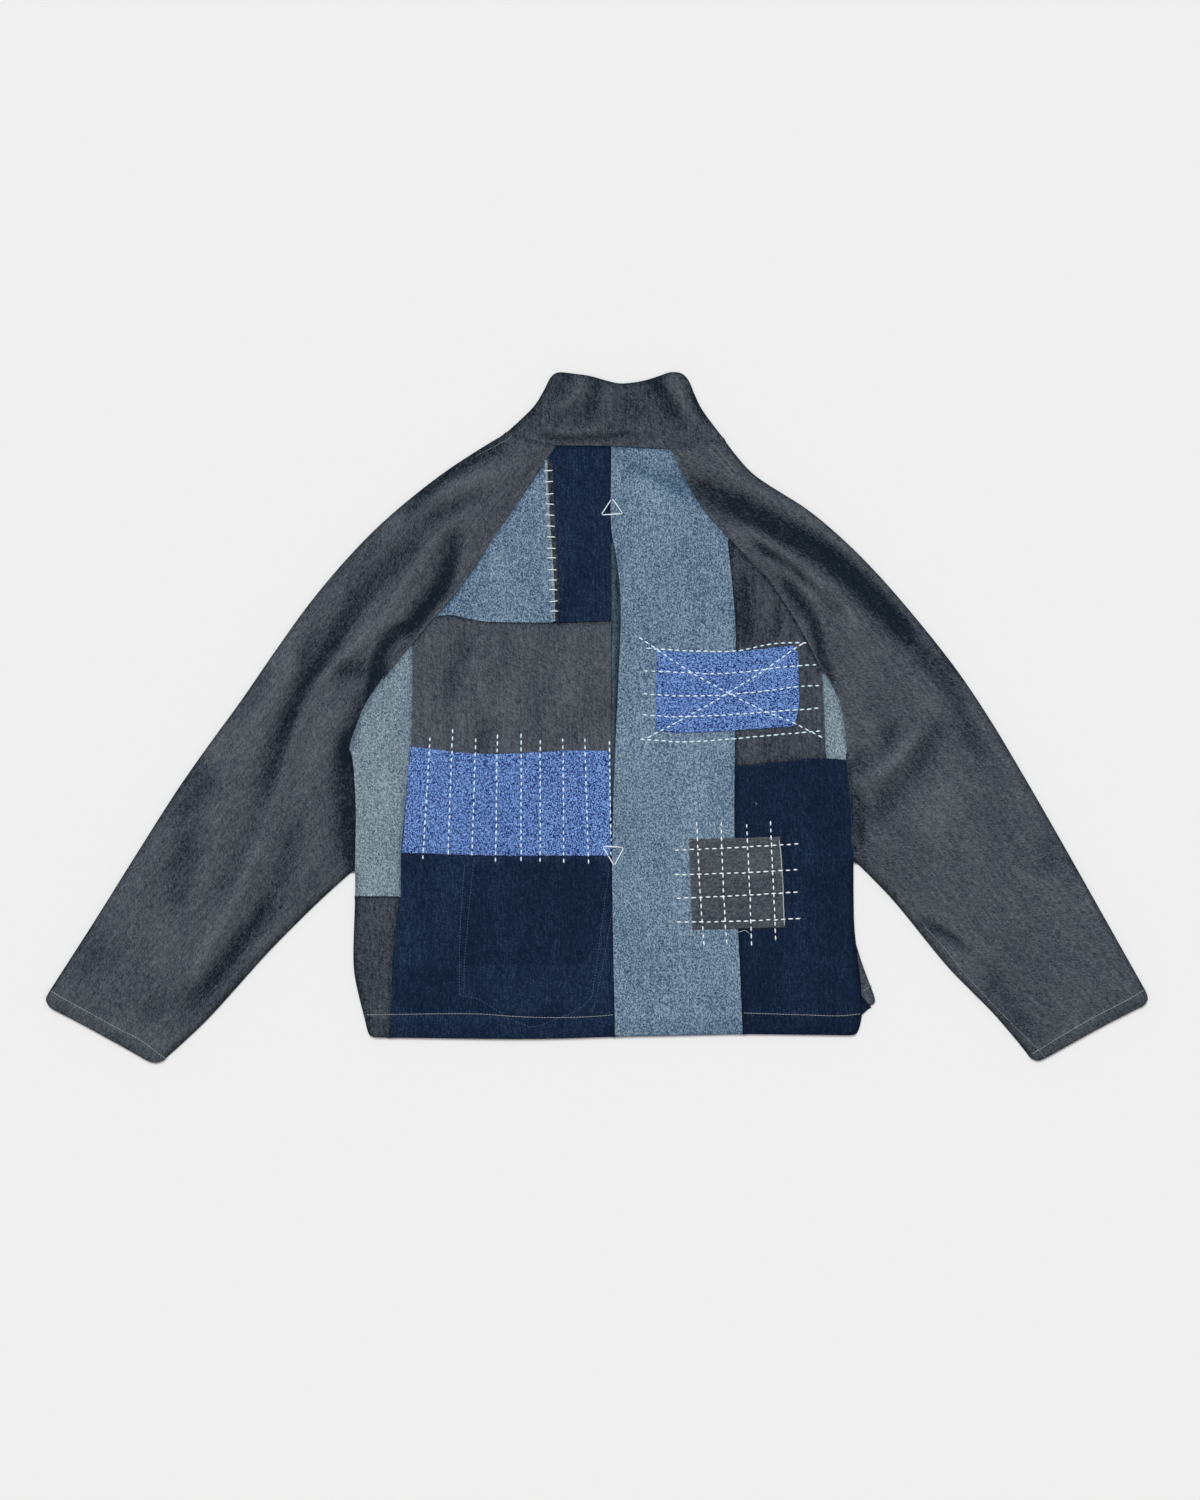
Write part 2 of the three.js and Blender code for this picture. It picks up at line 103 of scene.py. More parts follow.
# ---- Folds: path, height (down is negative), and width on its left and its right side ----
SLEEVE_LEFT_FOLDS = [
    # outer edge of the shoulder, and the streak below it
    ([(-84, 308), (-118, 295), (-160, 268), (-196, 240), (-222, 214)], -5.0, 11, 8),
    ([(-106, 250), (-150, 234), (-186, 214), (-214, 192)], -3.3, 8, 9),
    # main trough, from the shoulder to the elbow, with its deepest part and its branch
    ([(-180, 214), (-208, 182), (-236, 152), (-262, 124), (-285, 90), (-303, 60), (-320, 34), (-334, 4),
      (-346, -26), (-355, -62), (-372, -108)], -4.5, 12, 15),
    ([(-270, 112), (-288, 86), (-303, 60), (-320, 34), (-334, 4), (-345, -24), (-350, -50)], -2.0, 7, 9),
    ([(-300, 118), (-316, 88), (-323, 60), (-320, 34)], -3.9, 9, 11),
    ([(-350, -66), (-384, -132), (-402, -176), (-420, -215)], -2.4, 9, 12),
    # ridges on both sides of it
    ([(-74, 288), (-100, 268), (-135, 262), (-172, 248), (-206, 224)], 2.0, 8, 8),
    ([(-126, 225), (-160, 211), (-176, 194), (-204, 158), (-222, 128), (-246, 100)], 1.7, 7, 7),
    ([(-236, 112), (-268, 76), (-292, 55), (-312, 32), (-328, -4), (-342, -52), (-358, -98), (-374, -138)],
     3.0, 7, 7),
    ([(-300, 128), (-330, 72), (-350, 31), (-378, -28), (-410, -96), (-432, -150)], 2.4, 13, 15),
    # pouch beside the armhole
    ([(-151, 224), (-155, 196), (-160, 170), (-168, 148), (-184, 123), (-203, 104), (-222, 95)],
     -6.6, 6.5, 15),
    ([(-158, 178), (-164, 152), (-180, 126), (-200, 106), (-218, 97)], -3.4, 6, 8),
    ([(-182, 124), (-203, 102), (-220, 96), (-233, 82), (-242, 66), (-246, 46), (-248, 24),
      (-252, 6)], -9.0, 11, 5),
    ([(-186, 132), (-216, 114), (-240, 96), (-258, 72), (-268, 52)], 2.0, 4, 12),
    ([(-298, 36), (-282, 48), (-264, 52), (-244, 44)], -4.0, 11, 11),
    ([(-218, 62), (-238, 40), (-252, 18), (-261, -2), (-269, -28), (-276, -70)], -6.2, 8, 10),
    ([(-262, 24), (-290, 4), (-306, -30), (-326, -76)], 1.8, 12, 12),
    # upper arm
    ([(-428, -36), (-443, -92), (-452, -140), (-457, -190), (-464, -244)], -2.7, 18, 18),
    ([(-462, -104), (-492, -160), (-514, -210)], 2.0, 14, 12),
    # lower arm
    ([(-328, -104), (-338, -140), (-348, -172), (-366, -210), (-397, -252), (-422, -286), (-450, -320),
      (-474, -354)], -3.0, 15, 11),
    ([(-352, -188), (-374, -224), (-400, -257), (-426, -291), (-450, -320)], -3.2, 10, 8),
    ([(-356, -120), (-380, -162), (-397, -198), (-417, -234), (-436, -268), (-454, -302)], 2.8, 8, 9),
    ([(-408, -96), (-420, -142), (-440, -200), (-454, -250)], 2.0, 10, 10),
    ([(-530, -300), (-548, -262), (-550, -222)], -1.8, 16, 16),
    ([(-510, -340), (-486, -322), (-462, -312)], -1.8, 16, 16),
    ([(-574, -296), (-562, -262)], -1.2, 12, 12),
    # along the body
    ([(-273, 4), (-275, -60), (-273, -110), (-270, -160), (-266, -192)], -6.4, 15, 14),
]
SLEEVE_RIGHT_FOLDS = [
    # main trough along the outer edge, its deepest part, its mild end, and the two ridges beside it
    ([(76, 266), (120, 247), (150, 235), (180, 220), (210, 204), (243, 186), (274, 163), (303, 135),
      (334, 103), (360, 71), (384, 44), (396, 24)], -5.4, 13, 17),
    ([(120, 246), (150, 234), (180, 218), (210, 202), (243, 184), (274, 162), (303, 134), (334, 102),
      (356, 72)], -4.0, 11, 14),
    ([(372, 58), (394, 20), (412, -18), (434, -56)], -3.6, 10, 13),
    ([(104, 288), (146, 263), (200, 239), (250, 205), (300, 159), (352, 97), (394, 38)], 1.8, 6, 7),
    ([(132, 216), (168, 201), (198, 184), (230, 160), (260, 134), (284, 106), (300, 80)], 3.0, 7, 9),
    # creases that fan out from the armhole
    ([(156, 210), (182, 185), (200, 173), (216, 161), (232, 147), (256, 126)], -6.0, 4.4, 4.4),
    ([(195, 165), (206, 149), (224, 126), (236, 107), (242, 88), (246, 66), (258, 40),
      (268, 16)], -6.2, 6.0, 5.2),
    ([(196, 162), (212, 136), (222, 116), (230, 96)], -2.6, 6, 6),
    ([(186, 180), (214, 158), (238, 131), (254, 102)], 2.6, 4.5, 4.5),
    ([(150, 192), (174, 167), (190, 146), (202, 124), (212, 98)], -3.0, 3.6, 3.6),
    ([(240, 142), (260, 123), (276, 104)], -3.2, 10, 10),
    # elbow
    ([(388, 6), (368, -24), (356, -48), (334, -76), (312, -98), (290, -136)], -3.5, 15, 14),
    ([(370, 4), (346, -26), (328, -48), (308, -64), (276, -78)], 3.2, 7, 8),
    ([(328, 2), (318, -30), (306, -54)], -3.4, 11, 11),
    ([(296, -24), (288, -50), (286, -76)], -2.8, 9, 9),
    ([(404, -50), (378, -108), (330, -144)], 2.2, 20, 20),
    # lower arm
    ([(344, -216), (370, -229), (386, -239), (402, -253), (416, -268)], -4.8, 3.4, 8),
    ([(420, -258), (446, -304), (464, -334), (488, -364)], -2.8, 10, 10),
    ([(484, -128), (494, -154), (500, -184)], -1.9, 16, 16),
    # along the body
    ([(283, -60), (289, -110), (290, -140), (284, -168)], -5.0, 7, 7),
]
BODY_FOLDS = [
    ([(20, 284), (60, 266), (122, 236)], -3.4, 11, 11),
    ([(24, 262), (70, 240), (118, 204)], 1.4, 12, 12),
    ([(-136, 112), (-148, 70), (-160, 36), (-168, -2)], -2.6, 11, 11),
    ([(-116, 98), (-122, 40), (-138, -12)], 1.2, 12, 12),
    ([(-108, 10), (-124, -22), (-142, -60)], -2.6, 11, 11),
    ([(-60, 96), (-66, 30), (-76, -34)], -1.2, 14, 14),
    ([(161, 176), (163, 120), (165, 62)], -4.4, 9, 10),
    ([(184, 170), (186, 120), (180, 78)], 1.4, 6, 6),
    ([(198, 134), (199, 100), (196, 76)], -1.9, 5, 5),
    ([(-246, 10), (-240, -90), (-244, -190)], 1.0, 12, 12),
    ([(210, -70), (222, -180), (216, -300)], 1.0, 22, 22),
    ([(-100, 238), (-112, 176), (-96, 120)], 1.1, 20, 20),
    ([(96, 20), (104, -120), (92, -300)], 1.0, 24, 24),
]
COLLAR_FOLDS = [
    # the valley at its right, and what runs down beside it
    ([(50, 392), (63, 371), (74, 353), (88, 331), (102, 312)], -4.6, 6, 12),
    ([(76, 390), (90, 355), (102, 333), (114, 314)], 3.6, 6, 5),
    ([(96, 372), (110, 344), (128, 318)], -2.6, 7, 7),
    # the bends at its left
    ([(-14, 390), (-19, 364), (-29, 348), (-45, 337), (-60, 327)], 3.4, 5, 5),
    ([(-2, 398), (0, 364), (-6, 344), (-16, 328), (-34, 318)], -3.6, 8, 8),
    ([(-34, 390), (-39, 362), (-50, 346)], -2.4, 9, 8),
    ([(-74, 321), (-44, 314), (-20, 313), (4, 319), (22, 334)], 2.8, 4, 4),
    ([(-88, 320), (-56, 308), (-26, 305), (4, 307), (34, 311), (70, 306)], -2.4, 3.0, 3.4),
    ([(12, 372), (10, 342), (15, 318)], 1.6, 8, 7),
    ([(34, 362), (38, 338), (48, 314)], -1.8, 12, 12),
    ([(-106, 308), (-86, 324), (-66, 346)], -1.8, 8, 8),
]


# ---- Lines of points ----
def rounded(places, step):
    """A smooth line through its places, with a point about every `step`."""
    places = np.array(places, float)
    pieces = np.hypot(*np.diff(places, axis=0).T)
    times = np.sqrt(pieces)
    slopes = np.diff(places, axis=0) / times[:, None]
    tangents = np.empty_like(places)
    tangents[0] = slopes[0]
    tangents[-1] = slopes[-1]
    for i in range(1, len(places) - 1):
        across = (places[i + 1] - places[i - 1]) / (times[i] + times[i - 1])
        tangents[i] = slopes[i - 1] + slopes[i] - across
    line = []
    for i, length in enumerate(pieces):
        t = np.linspace(0, 1, max(2, math.ceil(length / step) + 1))[:-1, None]
        line.append(
            (2 * t**3 - 3 * t**2 + 1) * places[i]
            + (t**3 - 2 * t**2 + t) * tangents[i] * times[i]
            + (3 * t**2 - 2 * t**3) * places[i + 1]
            + (t**3 - t**2) * tangents[i + 1] * times[i]
        )
    return np.concatenate([*line, places[-1:]])


def nearest_piece(places, starts, ends):
    """For each place, the distance to the nearest straight piece, its index, and the share along it."""
    runs = ends - starts
    squares = (runs**2).sum(1)
    found = []
    for some in np.array_split(places, len(places) // 3000 + 1):
        offsets = some[:, None] - starts
        shares = np.clip((offsets * runs).sum(2) / squares, 0, 1)
        gaps = ((offsets - shares[..., None] * runs) ** 2).sum(2)
        best = gaps.argmin(1)
        row = np.arange(len(some))
        found.append(np.stack([np.sqrt(gaps[row, best]), best, shares[row, best]]))
    distance, index, share = np.concatenate(found, axis=1)
    return distance, index.astype(int), share


def nearest_on(places, path):
    """For each place, the distance to a path, the share of the path's length there, and the side of it."""
    starts = path[:-1]
    runs = np.diff(path, axis=0)
    lengths = np.hypot(*runs.T)
    distance, index, share = nearest_piece(places, starts, path[1:])
    before = np.concatenate([[0], np.cumsum(lengths)])
    along = (before[index] + share * lengths[index]) / before[-1]
    offset = places - starts[index]
    side = runs[index, 0] * offset[:, 1] - runs[index, 1] * offset[:, 0]
    return distance, along, side


def loop_distance(places, loop):
    """Distance from each place to a closed loop."""
    return nearest_piece(places, loop, np.roll(loop, -1, axis=0))[0]


def inside(places, loop):
    """Which places lie inside a closed loop."""
    x, y = places.T
    within = np.zeros(len(places), bool)
    for (ax, ay), (bx, by) in zip(loop, np.roll(loop, -1, axis=0)):
        crosses = (ay > y) != (by > y)
        with np.errstate(divide="ignore", invalid="ignore"):
            at = ax + (y - ay) * (bx - ax) / (by - ay)
        within ^= crosses & (x < at)
    return within


def ease(value):
    """0 below 0, 1 above 1, and smooth between them."""
    value = np.clip(value, 0, 1)
    return value * value * (3 - 2 * value)


def bell(distance, width):
    """1 at no distance, falling smoothly to almost 0 at two widths."""
    return np.exp(-((distance / width) ** 2))


def quarter_round(distance, width):
    """0 at an edge, rising like a quarter of a circle to 1 at that width."""
    return np.sqrt(1 - (1 - np.clip(distance / width, 0, 1)) ** 2)


def waves(places, length, seed, count=9):
    """A gentle random swell of about that wavelength, from -1 to 1 for the most part."""
    draw = np.random.default_rng(seed)
    swell = np.zeros(len(places))
    for _ in range(count):
        turn = draw.uniform(0, math.tau)
        pace = math.tau / (length * draw.uniform(0.7, 1.5))
        swell += np.cos(places @ [pace * math.cos(turn), pace * math.sin(turn)] + draw.uniform(0, math.tau))
    return swell / math.sqrt(2 * count)


# ---- Outlines, from the CAD solids ----
def upper_loops(node, low=0.0, high=50.0):
    """The outlines of a node's upward faces between two heights, anticlockwise, in millimetres."""
    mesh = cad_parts[node].data
    corners = np.array([v.co for v in mesh.vertices]) / MM
    places, index = np.unique(np.round(corners, 2), axis=0, return_inverse=True)
    index = index.ravel()
    edges = set()
    for face in mesh.polygons:
        if face.normal.z > 0.5 and low < face.center.z / MM < high:
            ring = [int(index[v]) for v in face.vertices]
            edges.update(zip(ring, ring[1:] + ring[:1]))
    following = {a: b for a, b in edges if (b, a) not in edges}
    loops = []
    while following:
        start, at = following.popitem()
        loop = [start]
        while at != start:
            loop.append(at)
            at = following.pop(at)
        loops.append(places[loop][:, :2])
    return loops


def turns(loop):
    """The angle that a closed loop turns through at each of its points."""
    arriving = loop - np.roll(loop, 1, axis=0)
    leaving = np.roll(loop, -1, axis=0) - loop
    cross = arriving[:, 0] * leaving[:, 1] - arriving[:, 1] * leaving[:, 0]
    return np.arctan2(cross, (arriving * leaving).sum(1))


def smooth_loop(loop):
    """The same closed outline with its curves rounded, its corners kept, and a point about every STEP."""
    loop = loop[np.abs(turns(loop)) > STRAIGHT]
    corners = np.flatnonzero(np.abs(turns(loop)) > SHARP)
    loop = np.roll(loop, -corners[0], axis=0)
    corners = [*(corners - corners[0]), len(loop)]
    closed = np.concatenate([loop, loop[:1]])
    runs = [rounded(closed[a : b + 1], STEP)[:-1] for a, b in zip(corners, corners[1:])]
    return np.concatenate(runs)


def softened(loop, free):
    """A closed outline with its corners worn round wherever it is free."""
    corners = loop[free & np.roll(free, 1) & np.roll(free, -1) & (np.abs(turns(loop)) > WORN_CORNER)]
    loop = loop.copy()
    for corner in corners:
        near = (np.hypot(*(loop - corner).T) < WORN_REACH)[:, None]
        for _ in range(6):
            loop = np.where(near, (np.roll(loop, 1, axis=0) + 2 * loop + np.roll(loop, -1, axis=0)) / 4, loop)
    return loop


# ---- The pieces of cloth: what each is made of, the way its warp runs, and which lies over which ----
UPPER = {
    # node: (cloth, turn of the warp in degrees, rank: the higher of two lies over the other, tone,
    #        what it lies on)
    "collar": ("charcoal", 0.0, 9, -0.28, ["collar_front_left", "collar_front_right"]),
    "sleeve_left_back": ("charcoal", -40.0, 8, -0.03, ["sleeve_left_front"]),
    "sleeve_right_back": ("charcoal", 40.0, 8, -0.03, ["sleeve_right_front"]),
    "back_right_light": ("light", 0.0, 7, -0.04, ["front_right", "centre_pleat"]),
    "back_left_light": ("light", 0.0, 6, -0.12, ["front_left"]),
    "back_right_navy": ("navy", 0.0, 6, -0.22, ["front_right", "front_right_side"]),
    "back_left_navy_strip": ("navy", 0.0, 5, 0.0, ["front_left", "centre_pleat"]),
    "back_left_navy": ("navy", 0.0, 5, 0.04, ["front_left", "centre_pleat"]),
    "back_right_charcoal": ("charcoal", 0.0, 5, -0.24, ["front_right"]),
    "back_left_charcoal": ("charcoal", 0.0, 4, 0.0, ["front_left", "centre_pleat"]),
    "side_right_pale": ("pale", 0.0, 4, 0.13, ["front_right"]),
    "side_left_pale": ("pale", 0.0, 3, -0.08, ["front_left"]),
    "side_left_charcoal": ("charcoal", 0.0, 2, -0.3, ["front_left"]),
}
LOWER = {
    # node: (cloth, turn, rank, tone); all of them lie on the floor
    "collar_front_left": ("charcoal", 0.0, 4, -0.28),  # the collar is one strip; these are its front ends
    "collar_front_right": ("charcoal", 0.0, 4, -0.28),
    "sleeve_left_front": ("charcoal", -40.0, 3, -0.2),
    "sleeve_right_front": ("charcoal", 40.0, 3, -0.2),
    "front_left": ("charcoal", 0.0, 2, 0.0),
    "front_right_side": ("charcoal", 0.0, 2, 0.0),
    "front_right": ("navy", 0.0, 1, 0.0),
}
PATCHES = {
    # node: (cloth, turn, tone, what it is sewn on)
    "patch_band": ("bright", 0.0, -0.05, ["back_left_charcoal", "back_left_navy"]),
    "patch_blue": ("bright", 90.0, -0.05, ["back_right_light", "back_right_charcoal"]),
    "patch_charcoal": ("charcoal", 90.0, -0.03, ["back_right_light", "back_right_navy"]),
}
ARMHOLE_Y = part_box("side_right_pale")[0].y / MM + 8  # below it the body's side lies over the sleeve


FREE, OVER, UNDER = 0, 1, -1


def meeting(mine, other, gap, place, ranks):
    """Whether piece `mine` is free at a place on its outline, laps the nearest piece, or lies under it."""
    if gap > TOUCHING:
        low, high = (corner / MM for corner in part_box("centre_pleat"))
        is_lip = low.x < place[0] < high.x and low.y < place[1] < high.y
        return OVER if is_lip else FREE  # a lip of the pleat is shaped like a lapping edge
    is_sleeve = mine.startswith("sleeve")
    if place[1] < ARMHOLE_Y and is_sleeve != other.startswith("sleeve"):
        return UNDER if is_sleeve else OVER
    return OVER if ranks[mine] > ranks[other] else UNDER


class Layer:
    """The outlines of the pieces that lie side by side, and what each stretch of outline meets."""

    def __init__(self, loops, ranks):
        self.loops = loops
        self.relation = {}
        names = list(loops)
        starts = np.concatenate([loops[n] for n in names])
        ends = np.concatenate([np.roll(loops[n], -1, axis=0) for n in names])
        owner = np.concatenate([np.full(len(loops[n]), i) for i, n in enumerate(names)])
        for i, name in enumerate(names):
            others = owner != i
            distance, index, _ = nearest_piece(loops[name], starts[others], ends[others])
            met = [names[k] for k in owner[others][index]]
            self.relation[name] = np.array([
                meeting(name, other, gap, place, ranks)
                for other, gap, place in zip(met, distance, loops[name])
            ])
        for name in names:
            loops[name] = softened(loops[name], self.relation[name] == FREE)

    def pieces_of(self, names, kind):
        """The starts and the ends of the straight pieces of these outlines that are of one kind."""
        starts, ends = [], []
        for name in names:
            is_kind = self.relation[name] == kind
            keep = is_kind & np.roll(is_kind, -1)
            starts.append(self.loops[name][keep])
            ends.append(np.roll(self.loops[name], -1, axis=0)[keep])
        return np.concatenate(starts), np.concatenate(ends)


def distance_to(places, segments):
    """Distance from each place to some straight pieces, or FAR if there are none."""
    if not len(segments[0]):
        return np.full(len(places), FAR)
    return nearest_piece(places, *segments)[0]


# ---- The form of the cloth ----
def fold_height(places, folds):
    """Sum of the folds at each place."""
    height = np.zeros(len(places))
    for path, rise, left_width, right_width in folds:
        path = rounded(path, 8.0)
        distance, along, side = nearest_on(places, path)
        width = np.where(side > 0, left_width, right_width)
        length = np.hypot(*np.diff(path, axis=0).T).sum()
        fading = min(45.0, 0.4 * length)
        ends = ease(along * length / fading) * ease((1 - along) * length / fading)
        height += rise * ends * bell(distance, width)
    return height


def folds_of(name):
    """The list of folds that shape a piece."""
    if name.startswith("sleeve_left"):
        return SLEEVE_LEFT_FOLDS
    if name.startswith("sleeve_right"):
        return SLEEVE_RIGHT_FOLDS
    return COLLAR_FOLDS if name == "collar" else BODY_FOLDS


def top_height(places, name):
    """Height of the top layer's upper face, before its seams and hems, and its folds on their own."""
    lift = 1 - (1 - np.clip(distance_to(places, outer_edge) / ROLL, 0, 1)) ** 2
    fold = fold_height(places, folds_of(name))
    shape = fold + 0.5 * waves(places, 110, 3) + 0.24 * waves(places, 42, 5)
    if name.startswith("sleeve"):
        off_seam = ease(distance_to(places, arm_seams) / 12)
        shape = shape * (0.2 + 0.8 * off_seam) + LOFT * off_seam
    height = EDGE_TOP + PLATEAU * lift + shape * (0.3 + 0.7 * lift) * ease(lift / 0.3)
    return np.maximum(height, EDGE_TOP - 1.1), fold


def fold_shade_and_wear(fold):
    """Painted shade in the folds' troughs and painted highlight on their ridges, with the dye that the
    troughs keep and the wear on the ridges.
    """
    return np.where(fold < 0, np.maximum(fold * 0.15, -1.1), np.minimum(fold * 0.09, 0.4))


def is_open(name, segments):
    """Which free stretches are a hem or a cuff, where the two layers part."""
    middle = (segments[0] + segments[1]) / 2
    if name.startswith("sleeve"):
        loop = upper_loops(name)[0]
        a = loop[np.abs(loop[:, 0]).argmax()]  # one end of the cuff; the other is the sleeve's lowest point
        run = loop[loop[:, 1].argmin()] - a
        offset = middle - a
        away = np.abs(run[0] * offset[:, 1] - run[1] * offset[:, 0]) / np.hypot(*run)
        return away < CUFF_BOW
    return middle[:, 1] < hem_y + HEM_BOW


# ---- Meshes ----
def make_object(name, points, faces, material):
    """A mesh object from points in millimetres. It rides on the jacket's one body."""
    mesh = bpy.data.meshes.new(name)
    mesh.from_pydata((np.asarray(points) * MM).tolist(), [], [list(map(int, f)) for f in faces])
    mesh.shade_smooth()
    mesh.set_sharp_from_angle(angle=math.radians(55))
    mesh.materials.append(material)
    made = bpy.data.objects.new(name, mesh)
    bpy.context.scene.collection.objects.link(made)
    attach(made, "root")
    return made


def pushed(loop, amounts):
    """A loop with each point moved inwards (or outwards, if negative) by its own amount."""
    run = np.roll(loop, -1, axis=0) - np.roll(loop, 1, axis=0)
    run /= np.hypot(*run.T)[:, None]
    return loop + np.stack([-run[:, 1], run[:, 0]], 1) * np.asarray(amounts)[:, None]


def filled(outline, rings, cell):
    """Points and triangles that fill an outline: rings along it, and an even spread inside them."""
    points = [outline]
    for ring in rings[1:]:
        inner = pushed(outline, np.full(len(outline), ring))
        good = inside(inner, outline) & (loop_distance(inner, outline) > 0.93 * ring)
        points.append(inner[good])
    low, high = outline.min(0), outline.max(0)
    grid = []
    for row, y in enumerate(np.arange(low[1], high[1], cell * math.sqrt(3) / 2)):
        grid += [(x, y) for x in np.arange(low[0] + (row % 2) * cell / 2, high[0], cell)]
    grid = np.array(grid)
    grid = grid[inside(grid, outline)]
    points.append(grid[loop_distance(grid, outline) > rings[-1] + cell * 0.6])
    places = np.concatenate(points)
    count = len(outline)
    border = [(i, (i + 1) % count) for i in range(count)]
    made = delaunay_2d_cdt([Vector(p) for p in places], border, [], 0, 1e-5)
    places = np.array([tuple(p) for p in made[0]])
    triangles = np.array([list(face) for face in made[2]])
    triangles = triangles[inside(places[triangles].mean(1), outline)]
    used, numbered = np.unique(triangles, return_inverse=True)
    return places[used], numbered.reshape(-1, 3)


def rim_of(triangles):
    """The edges that only one triangle uses, in the direction that it uses them."""
    edges = {(a, b) for t in triangles.tolist() for a, b in zip(t, t[1:] + t[:1])}
    return [(a, b) for a, b in edges if (b, a) not in edges]


def wall(name, upper, lower, faces, material, tone_and_shade):
    """A closed wall: two sheets of points with the same faces, joined round the rim. The last argument is how
    pale the cloth is at each point, with its painted shade and highlights, for its material to read."""
    size = len(upper)
    sides = [(a, a + size, b + size, b) for a, b in sorted(rim_of(faces))]
    faces = [*faces, *(faces[:, ::-1] + size), *sides]
    made = make_object(name, np.concatenate([upper, lower]), faces, material)
    attribute = made.data.attributes.new("tone_and_shade", "FLOAT", "POINT")
    attribute.data.foreach_set("value", np.tile(tone_and_shade, 2).astype(np.float32))
    return made


def shell(name, outline, top, bottom, material, rings=RINGS, cell=CELL):
    """A cloth wall. `top` gives its upper face's height and its tone with painted shade and highlights at
    places, and `bottom` its lower face's height, from the places and the height above them."""
    places, triangles = filled(outline, rings, cell)
    height, tone_and_shade = top(places)
    upper = np.column_stack([places, height])
    lower = np.column_stack([places, bottom(places, height)])
    return wall(name, upper, lower, triangles, material, tone_and_shade)


# ---- Cloths ----
def linear(red, green, blue):
    """A colour given as it looks on a screen, 0 to 255, as the light it sends back."""
    shares = [c / 255 for c in (red, green, blue)]
    return (*[s / 12.92 if s < 0.04045 else ((s + 0.055) / 1.055) ** 2.4 for s in shares], 1.0)


class Nodes:
    """A material's node tree, with short ways to add to it."""

    def __init__(self, name):
        self.material = bpy.data.materials.new(name)
        self.material.use_nodes = True
        self.tree = self.material.node_tree
        self.tree.nodes.clear()

    def add(self, kind, inputs=None, **settings):
        node = self.tree.nodes.new("ShaderNode" + kind)
        for key, value in settings.items():
            setattr(node, key, value)
        for socket, value in (inputs or {}).items():
            if isinstance(value, bpy.types.NodeSocket):
                self.tree.links.new(value, node.inputs[socket])
            else:
                node.inputs[socket].default_value = value
        return node

    def math(self, operation, first, second=0.0):
        return self.add("Math", {0: first, 1: second}, operation=operation).outputs[0]

    def spread(self, value, low, high, to_low=0.0, to_high=1.0):
        """Stretches the values from low to high over to_low to to_high."""
        inputs = {"Value": value, "From Min": low, "From Max": high, "To Min": to_low, "To Max": to_high}
        return self.add("MapRange", inputs, interpolation_type="SMOOTHSTEP").outputs[0]

    def mix(self, factor, first, second):
        """From the first colour to the second. A mix of colours has them in its sockets 6 and 7."""
        return self.add("Mix", {"Factor": factor, 6: first, 7: second}, data_type="RGBA").outputs[2]

    def stretched(self, coordinates, turn, across, along):
        """Coordinates turned to the warp, and counted in steps of `across` and `along` millimetres."""
        turned = self.add("Mapping", {
            "Vector": coordinates, "Rotation": (0, 0, math.radians(-turn))}, vector_type="POINT")
        scale = (1 / (across * MM), 1 / (along * MM), 1 / (across * MM))
        return self.add("Mapping", {"Vector": turned.outputs[0], "Scale": scale}).outputs[0]

    def noise(self, coordinates, detail=1.0, rough=0.5, bend=0.0):
        inputs = {"Vector": coordinates, "Scale": 1.0, "Detail": detail, "Roughness": rough,
                  "Distortion": bend}
        return self.add("TexNoise", inputs).outputs["Fac"]

    def finish(self, colour, height, roughness, lift):
        """Joins the colour, the roughness and the height pattern into the cloth's surface."""
        bump = self.add("Bump", {"Height": height, "Strength": 1.0, "Distance": lift * MM})
        surface = self.add("BsdfPrincipled", {
            "Base Color": colour, "Roughness": roughness, "Normal": bump.outputs[0],
            "Specular IOR Level": 0.12})
        output = self.add("OutputMaterial")
        self.tree.links.new(surface.outputs[0], output.inputs[0])
        return self.material


CLOTHS = {
    # name: slot; colour, as it is, dark where it keeps its dye and in painted shade, and light where worn and
    # in painted highlights; size of its flecks; strength of its flecks, of its grain along the warp and of
    # its twill lines
    "charcoal": ("charcoal_denim", (71, 77, 84), (16, 26, 37), (106, 111, 117), 1.35, (0.30, 0.18, 0.20)),
    "faded": ("charcoal_denim", (64, 82, 94), (20, 32, 44), (108, 126, 138), 1.35, (0.30, 0.18, 0.20)),
    "navy": ("navy_denim", (16, 33, 56), (5, 16, 34), (48, 64, 94), 1.4, (0.34, 0.24, 0.12)),
    "light": ("light_denim", (94, 117, 138), (50, 74, 100), (146, 166, 182), 1.35, (0.85, 0.16, 0.12)),
    "pale": ("pale_denim", (114, 131, 142), (68, 88, 104), (160, 177, 184), 1.35, (0.75, 0.10, 0.12)),
    "bright": ("bright_cloth", (70, 100, 158), (18, 42, 100), (128, 164, 224), 1.2, (1.5, 0.0, 0.0)),
}
SLUB = 0.09  # strength of the uneven yarn, and of the large cloudy fading, on every cloth
CLOUD = 0.12


